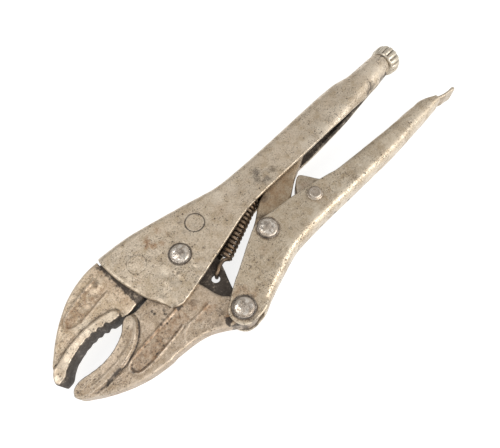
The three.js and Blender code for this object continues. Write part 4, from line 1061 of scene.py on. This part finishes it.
# painted shade: the lug sits inside the frame
paint(lug_me, extra_grime_and_shade=lambda co, no: np.full(len(co), 0.8), seed=71)
rivet_mes = {
    "jaw_pivot_rivet": rivet(P, 4.0, 5.2, 4.65, 1.93, 3),
    "handle_pivot_rivet": rivet(A, 3.1, 5.6, 4.9, 1.93, 8),
    "link_pivot_rivet": rivet(B, 3.1, 5.5, 4.9, 1.93, 5),
    "release_lever_rivet": rivet(D, 2.4, 3.9, 3.2, 1.6, 9, flat=True),
    "front_jaw_rivet": flush_rivet(F1, 2),
    "rear_jaw_rivet": flush_rivet(F2, 4),
}
centres = {"jaw_pivot_rivet": (P, 4.75), "handle_pivot_rivet": (A, 5.0), "link_pivot_rivet": (B, 5.0), "release_lever_rivet": (D, 9), "front_jaw_rivet": (F1, 9), "rear_jaw_rivet": (F2, 9)}
for n, me in rivet_mes.items():
    c, rg = centres[n]
    domed = n in ("jaw_pivot_rivet", "handle_pivot_rivet", "link_pivot_rivet")
    # on the domed heads the darker middle is a painted reflection and the bright ring round it a painted highlight;
    # outside the dome the dark rim and rust are dirt at the joint
    paint(me, extra_grime_and_shade=lambda co, no: np.where(np.hypot(co[:, 0] - c[0], co[:, 1] - c[1]) > rg, 0.72, 0.0) + (0.7 * smoothstep(4.35, 4.55, np.hypot(co[:, 0] - c[0], co[:, 1] - c[1])) * (n == "rear_jaw_rivet")) + domed * 0.50 * smoothstep(0.30, 0.75, 1.9 * noise3(co, 0.42, 75 + c[0]) + 0.75 - 0.28 * np.hypot(co[:, 0] - c[0] - 0.4, co[:, 1] - c[1] + 0.3)),
          extra_wear_and_highlight=lambda co, no: domed * np.clip(1.4 * np.exp(-((np.hypot(co[:, 0] - c[0], co[:, 1] - c[1]) - 2.9) / 1.0) ** 2) * (0.45 + 1.8 * noise3(co, 0.6, 77 + c[1])), 0, 1), extra_rust=lambda co, no: np.where(np.hypot(co[:, 0] - c[0], co[:, 1] - c[1]) > rg, 0.45, 0.05),
          seed=73, hollow_gain=0.8)


# ---------------------------------------------------------------- materials
def worn(name, tone_a, tone_b, bright, grime_and_shade_col=(0.034, 0.025, 0.020), rust_col=(0.29, 0.155, 0.072), rough=(0.31, 0.47), metallic=0.84,
         pits=0.5, scratches=0.5, bump=1.0, offset=0.0, rings=()):
    """Old nickel plate over steel: mottled tone, pits, scratches, brown deposit in hollows, rust stains and bright worn
    edges. The grime values also hold painted shade, and the wear values painted highlights.
    """
    mat = bpy.data.materials.new(name)
    mat.use_nodes = True
    nt = mat.node_tree
    nt.nodes.clear()
    N, L = nt.nodes, nt.links

    def node(kind, **kw):
        n = N.new(kind)
        for k, v in kw.items():
            setattr(n, k, v)
        return n

    def link(a, b):
        L.new(a, b)

    def math_(op, a, b=None, clamp=False):
        n = node("ShaderNodeMath", operation=op)
        n.use_clamp = clamp
        for i, v in enumerate((a, b)):
            if v is None:
                continue
            if isinstance(v, (int, float)):
                n.inputs[i].default_value = v
            else:
                link(v, n.inputs[i])
        return n.outputs[0]

    def ramp(v, a, b, lo=0.0, hi=1.0):
        n = node("ShaderNodeMapRange")
        n.interpolation_type = "SMOOTHSTEP"
        n.inputs["From Min"].default_value, n.inputs["From Max"].default_value = a, b
        n.inputs["To Min"].default_value, n.inputs["To Max"].default_value = lo, hi
        link(v, n.inputs["Value"])
        return n.outputs[0]

    def mix(f, a, b):
        n = node("ShaderNodeMix", data_type="RGBA")
        if isinstance(f, float):
            n.inputs[0].default_value = f
        else:
            link(f, n.inputs[0])
        for i, v in ((6, a), (7, b)):
            if isinstance(v, tuple):
                n.inputs[i].default_value = (*v, 1.0)
            else:
                link(v, n.inputs[i])
        return n.outputs[2]

    tc = node("ShaderNodeTexCoord")
    mp = node("ShaderNodeMapping")
    mp.inputs["Scale"].default_value = (1000, 1000, 1000)
    mp.inputs["Location"].default_value = (offset * 31.0, offset * 17.0, offset * 5.0)
    link(tc.outputs["Object"], mp.inputs["Vector"])
    pos = mp.outputs[0]

    def noise_tex(scale, detail=4.0, rough_=0.55, vec=None, dist=0.0):
        n = node("ShaderNodeTexNoise")
        n.inputs["Scale"].default_value = scale
        n.inputs["Detail"].default_value = detail
        n.inputs["Roughness"].default_value = rough_
        n.inputs["Distortion"].default_value = dist
        link(vec or pos, n.inputs["Vector"])
        return n.outputs["Fac"]

    def attr(n_):
        n = node("ShaderNodeAttribute")
        n.attribute_name = n_
        return n.outputs["Fac"]

    big = noise_tex(0.045, 3.0)
    med = noise_tex(0.22, 5.0, 0.6)
    fine = noise_tex(1.1, 4.0, 0.65)
    grit = noise_tex(3.2, 3.0, 0.7)
    patch = noise_tex(0.11, 3.0, 0.6, None, 0.6)
    # pits: small round marks of mixed size, gathered in patches
    wob = node("ShaderNodeTexNoise")
    wob.inputs["Scale"].default_value = 1.6
    wob.inputs["Detail"].default_value = 2.0
    link(pos, wob.inputs["Vector"])
    sway = node("ShaderNodeVectorMath", operation="MULTIPLY_ADD")
    sway.inputs[1].default_value = (0.9, 0.9, 0.9)
    link(wob.outputs["Color"], sway.inputs[0])
    link(pos, sway.inputs[2])
    vor = node("ShaderNodeTexVoronoi", feature="F1")
    vor.inputs["Scale"].default_value = 0.85
    vor.inputs["Randomness"].default_value = 1.0
    link(sway.outputs[0], vor.inputs["Vector"])
    rnd = node("ShaderNodeSeparateColor")
    link(vor.outputs["Color"], rnd.inputs[0])
    size = math_("MULTIPLY", math_("POWER", rnd.outputs[0], 2.0), 0.44)
    pit = ramp(math_("SUBTRACT", size, vor.outputs["Distance"]), -0.04, 0.12)
    pit = math_("MULTIPLY", pit, ramp(med, 0.40, 0.62))
    vor2 = node("ShaderNodeTexVoronoi", feature="F1")
    vor2.inputs["Scale"].default_value = 1.75
    link(sway.outputs[0], vor2.inputs["Vector"])
    rnd2 = node("ShaderNodeSeparateColor")
    link(vor2.outputs["Color"], rnd2.inputs[0])
    size2 = math_("MULTIPLY", math_("POWER", rnd2.outputs[1], 1.3), 0.56)
    pit2 = math_("MULTIPLY", ramp(math_("SUBTRACT", size2, vor2.outputs["Distance"]), -0.03, 0.1), ramp(patch, 0.36, 0.60, 0.10, 1.0))
    pit_all = math_("MULTIPLY", math_("MAXIMUM", pit, math_("MULTIPLY", pit2, 0.85)), pits, True)
    # scratches: noise drawn out along two directions
    scr = []
    for ang, sc, seed in ((0.35, 1.0, 3.0), (-0.9, 0.8, 9.0), (1.4, 0.9, 15.0)):
        m2 = node("ShaderNodeMapping")
        m2.inputs["Rotation"].default_value = (0.15, 0.1, ang)
        m2.inputs["Scale"].default_value = (0.05 * sc, 2.6 * sc, 1.2)
        m2.inputs["Location"].default_value = (seed, seed * 2, seed)
        link(pos, m2.inputs["Vector"])
        scr.append(ramp(noise_tex(1.0, 2.0, 0.5, m2.outputs[0]), 0.66, 0.74))
    scratch = math_("MULTIPLY", math_("MULTIPLY", math_("MAXIMUM", math_("MAXIMUM", scr[0], scr[1]), scr[2]), ramp(big, 0.4, 0.6)), scratches, True)

    grime_and_shade, rust, wear_and_highlight = attr("grime_and_shade"), attr("rust"), attr("wear_and_highlight")
    g = math_("MULTIPLY", grime_and_shade, ramp(math_("ADD", math_("MULTIPLY", med, 0.7), math_("MULTIPLY", fine, 0.5)), 0.30, 0.78, 0.35, 1.15), True)
    g = ramp(g, 0.06, 0.82)
    r_ = math_("MULTIPLY", rust, ramp(math_("ADD", med, math_("MULTIPLY", fine, 0.6)), 0.45, 1.05, 0.25, 1.2), True)
    w_ = math_("MULTIPLY", wear_and_highlight, ramp(fine, 0.25, 0.6, 0.55, 1.1), True)

    base = mix(ramp(big, 0.34, 0.66), tone_a, tone_b)
    base = mix(math_("MULTIPLY", ramp(med, 0.40, 0.68), 0.85), base, tuple(c * k for c, k in zip(tone_a, (0.68, 0.63, 0.55))))
    base = mix(math_("MULTIPLY", ramp(fine, 0.44, 0.68), 0.62), base, tuple(c * k for c, k in zip(tone_b, (0.58, 0.53, 0.46))))
    base = mix(math_("MULTIPLY", ramp(grit, 0.50, 0.72), 0.50), base, tuple(min(1.0, c * 1.25) for c in bright))
    # wear and painted highlights
    base = mix(math_("MULTIPLY", w_, 0.75), base, bright)
    base = mix(scratch, base, tuple(min(1.0, c * 1.1) for c in bright))
    base = mix(math_("MULTIPLY", r_, 0.78), base, rust_col)
    base = mix(math_("MULTIPLY", pit_all, 0.9), base, tuple(c * 2.2 for c in grime_and_shade_col))
    # dirt and painted shade
    base = mix(math_("MULTIPLY", g, 0.93), base, grime_and_shade_col)
    if rings:
        sep = node("ShaderNodeSeparateXYZ")
        link(pos, sep.inputs[0])
        for cx, cy, rad, wid, k in rings:
            dx, dy = math_("SUBTRACT", sep.outputs[0], cx), math_("SUBTRACT", sep.outputs[1], cy)
            dist_ = math_("SQRT", math_("ADD", math_("MULTIPLY", dx, dx), math_("MULTIPLY", dy, dy)))
            off_ = math_("ABSOLUTE", math_("SUBTRACT", math_("ADD", dist_, math_("MULTIPLY", math_("SUBTRACT", fine, 0.5), 0.25)), rad))
            m_ = math_("MULTIPLY", ramp(off_, 0.0, wid, k, 0.0), ramp(med, 0.30, 0.55, 0.55, 1.0))
            base = mix(m_, base, tuple(c * 1.5 for c in grime_and_shade_col))

    bsdf = node("ShaderNodeBsdfPrincipled")
    out = node("ShaderNodeOutputMaterial")
    link(bsdf.outputs[0], out.inputs[0])
    link(base, bsdf.inputs["Base Color"])
    dull = math_("MAXIMUM", math_("MAXIMUM", math_("MULTIPLY", g, 0.9), math_("MULTIPLY", r_, 0.55)), math_("MULTIPLY", pit_all, 0.8))
    link(ramp(dull, 0.0, 1.0, metallic, metallic * 0.25), bsdf.inputs["Metallic"])
    ro = math_("ADD", ramp(med, 0.3, 0.7, rough[0], rough[1]), math_("MULTIPLY", math_("SUBTRACT", fine, 0.5), 0.22))
    ro = math_("ADD", ro, math_("MULTIPLY", dull, 0.22))
    ro = math_("SUBTRACT", ro, math_("MULTIPLY", w_, 0.09), True)
    link(ro, bsdf.inputs["Roughness"])
    hgt = math_("ADD", math_("MULTIPLY", fine, 0.095), math_("MULTIPLY", grit, 0.030))
    hgt = math_("ADD", hgt, math_("MULTIPLY", med, 0.28))
    hgt = math_("SUBTRACT", hgt, math_("MULTIPLY", pit_all, 0.10))
    hgt = math_("SUBTRACT", hgt, math_("MULTIPLY", scratch, 0.022))
    hgt = math_("ADD", hgt, math_("MULTIPLY", math_("MULTIPLY", math_("MAXIMUM", grime_and_shade, rust), fine), 0.06))
    bp = node("ShaderNodeBump")
    bp.inputs["Strength"].default_value = 1.0 * bump
    bp.inputs["Distance"].default_value = 0.001
    link(hgt, bp.inputs["Height"])
    link(bp.outputs[0], bsdf.inputs["Normal"])
    return mat


M = {
    "frame": worn("worn_nickel_frame", (0.66, 0.545, 0.42), (0.57, 0.475, 0.37), (0.90, 0.80, 0.66), pits=1.0, offset=0.0,
                  rings=((F2[0] + SHIFT[0], F2[1] + SHIFT[1], 4.75, 0.55, 0.9), (F1[0] + SHIFT[0], F1[1] + SHIFT[1], 4.75, 0.5, 0.26), (P[0] + SHIFT[0], P[1] + SHIFT[1], 5.45, 0.6, 0.85))),
    "jaw": worn("worn_nickel_jaw", (0.68, 0.54, 0.40), (0.575, 0.455, 0.335), (0.90, 0.80, 0.66), rough=(0.33, 0.49), pits=0.85, bump=1.2, offset=1.0),
    "jaw_lower": worn("worn_nickel_jaw_lower", (0.53, 0.42, 0.315), (0.45, 0.355, 0.265), (0.78, 0.69, 0.57), rough=(0.34, 0.50), pits=0.85, bump=1.2, offset=1.0),
    "handle": worn("worn_nickel_handle", (0.58, 0.475, 0.355), (0.51, 0.42, 0.315), (0.88, 0.79, 0.65), pits=1.0, offset=2.0),
    "link": worn("tarnished_steel", (0.44, 0.355, 0.25), (0.38, 0.305, 0.215), (0.60, 0.50, 0.38), rough=(0.40, 0.58), pits=0.5, offset=3.0),
    "lever": worn("worn_nickel_lever", (0.47, 0.39, 0.30), (0.42, 0.35, 0.27), (0.76, 0.67, 0.55), pits=0.5, offset=4.0),
    "rivet": worn("worn_nickel_rivet", (0.52, 0.44, 0.37), (0.46, 0.39, 0.33), (0.86, 0.80, 0.72), rough=(0.14, 0.28), pits=0.5, bump=0.8, offset=5.0),
    "screw": worn("worn_nickel_screw", (0.62, 0.54, 0.43), (0.56, 0.49, 0.39), (0.90, 0.84, 0.73), rough=(0.22, 0.36), pits=0.35, offset=6.0),
    "spring": worn("blackened_steel", (0.30, 0.22, 0.155), (0.24, 0.18, 0.13), (0.46, 0.37, 0.27), rough=(0.30, 0.44), metallic=0.85, pits=0.3, scratches=0.2, offset=7.0),
}


def finish_piece(name, me, slot, body, replaces, look=None):
    co = (coords(me) + SHIFT) / 1000.0
    me = me.copy()
    me.name = name
    set_coords(me, co)
    me.polygons.foreach_set("use_smooth", np.ones(len(me.polygons), bool))
    me.materials.clear()
    me.materials.append(M[look or slot])
    ob = new_object(name, me)
    if body:
        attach(ob, body)
    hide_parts(replaces)
    return ob


frame_all = merge_meshes("frame_all", [frame_me, lug_me])
finish_piece("frame_skin", frame_all, "frame", "frame", "upper_handle_frame")
finish_piece("upper_jaw_skin", upper_me, "jaw", "frame", "upper_jaw")
finish_piece("lower_jaw_skin", lower_me, "jaw", "jaw", "lower_jaw", "jaw_lower")
finish_piece("lower_handle_skin", handle_me, "handle", "handle", "lower_handle")
finish_piece("toggle_link_skin", link_me, "link", "link", "toggle_link")
finish_piece("release_lever_skin", lever_me, "lever", "lever", "release_lever")
finish_piece("adjusting_screw_skin", screw_me, "screw", frame["record"] and next(b for b, ns in frame["record"]["behaviour"]["bodies"].items() if "adjusting_screw" in ns), "adjusting_screw")
finish_piece("screw_nose_skin", nose_scr_me, "screw", next(b for b, ns in frame["record"]["behaviour"]["bodies"].items() if "screw_nose" in ns), "screw_nose")
for n, me in rivet_mes.items():
    flush = n in ("front_jaw_rivet", "rear_jaw_rivet")
    finish_piece(n + "_skin", me, "rivet", next(b for b, ns in frame["record"]["behaviour"]["bodies"].items() if n in ns), n, "frame" if flush else None)
spring = finish_piece("tension_spring_skin", spring_me, "spring", None, "tension_spring")
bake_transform(spring)

# ---------------------------------------------------------------- stage, light, camera
me = bpy.data.meshes.new("floor")
me.from_pydata([(-3, -3, 0), (3, -3, 0), (3, 3, 0), (-3, 3, 0)], [], [(0, 1, 2, 3)])
floor = new_object("floor", me)
fm = bpy.data.materials.new("pale_floor")
fm.use_nodes = True
b = fm.node_tree.nodes["Principled BSDF"]
b.inputs["Base Color"].default_value = (0.36, 0.36, 0.358, 1)
b.inputs["Roughness"].default_value = 0.9
b.inputs["Specular IOR Level"].default_value = 0.1
b.inputs["Emission Color"].default_value = (1.0, 1.0, 1.0, 1)
b.inputs["Emission Strength"].default_value = 0.80
me.materials.append(fm)

world = bpy.data.worlds.new("studio")
bpy.context.scene.world = world
world.use_nodes = True
bg = world.node_tree.nodes["Background"]
wn, wl = world.node_tree.nodes, world.node_tree.links
wt = wn.new("ShaderNodeTexCoord")
ws = wn.new("ShaderNodeSeparateXYZ")
wl.new(wt.outputs["Generated"], ws.inputs[0])
wr = wn.new("ShaderNodeMapRange")                       # brighter room on the -Y side
wr.inputs["From Min"].default_value, wr.inputs["From Max"].default_value = -0.9, 0.9
wr.inputs["To Min"].default_value, wr.inputs["To Max"].default_value = 1.06, 0.52
wl.new(ws.outputs["Y"], wr.inputs["Value"])
bg.inputs["Color"].default_value = (1.0, 0.995, 0.985, 1)
wl.new(wr.outputs[0], bg.inputs["Strength"])


def area(name, loc_mm, target_mm, size, power, color=(1, 1, 1)):
    ld = bpy.data.lights.new(name, "AREA")
    ld.shape = "RECTANGLE"
    ld.size, ld.size_y = size
    ld.energy = power
    ld.color = color
    ob = bpy.data.objects.new(name, ld)
    bpy.context.scene.collection.objects.link(ob)
    ob.location = Vector(loc_mm) / 1000
    ob.rotation_euler = (Vector(target_mm) / 1000 - ob.location).to_track_quat("-Z", "Y").to_euler()
    return ob


# one large soft box low on the -Y side
area("key", (150, -640, 420), (0, 0, 0), (0.8, 0.45), 3.4, (1.0, 0.985, 0.96))
# a smaller one high on the far left, which picks out blows, facets and rims
area("left", (-330, 330, 800), (0, 0, 0), (0.30, 0.30), 1.15, (1.0, 0.99, 0.975))

cam_data = bpy.data.cameras.new("camera")
cam_data.lens = 36.0
cam_data.sensor_width = 36.0
cam = bpy.data.objects.new("camera", cam_data)
bpy.context.scene.collection.objects.link(cam)
R = Matrix(((0.7009, 0.6491, -0.2958), (-0.7133, 0.6378, -0.2907), (0.0, 0.4147, 0.9100)))
cam.matrix_world = Matrix.Translation((-0.086496, -0.072094, 0.23605)) @ R.to_4x4()
cam_data.clip_start = 0.01
cam_data.clip_end = 20.0
bpy.context.scene.camera = cam
bpy.context.scene.view_settings.view_transform = "Standard"
bpy.context.scene.view_settings.look = "None"
bpy.context.scene.view_settings.exposure = 0.0
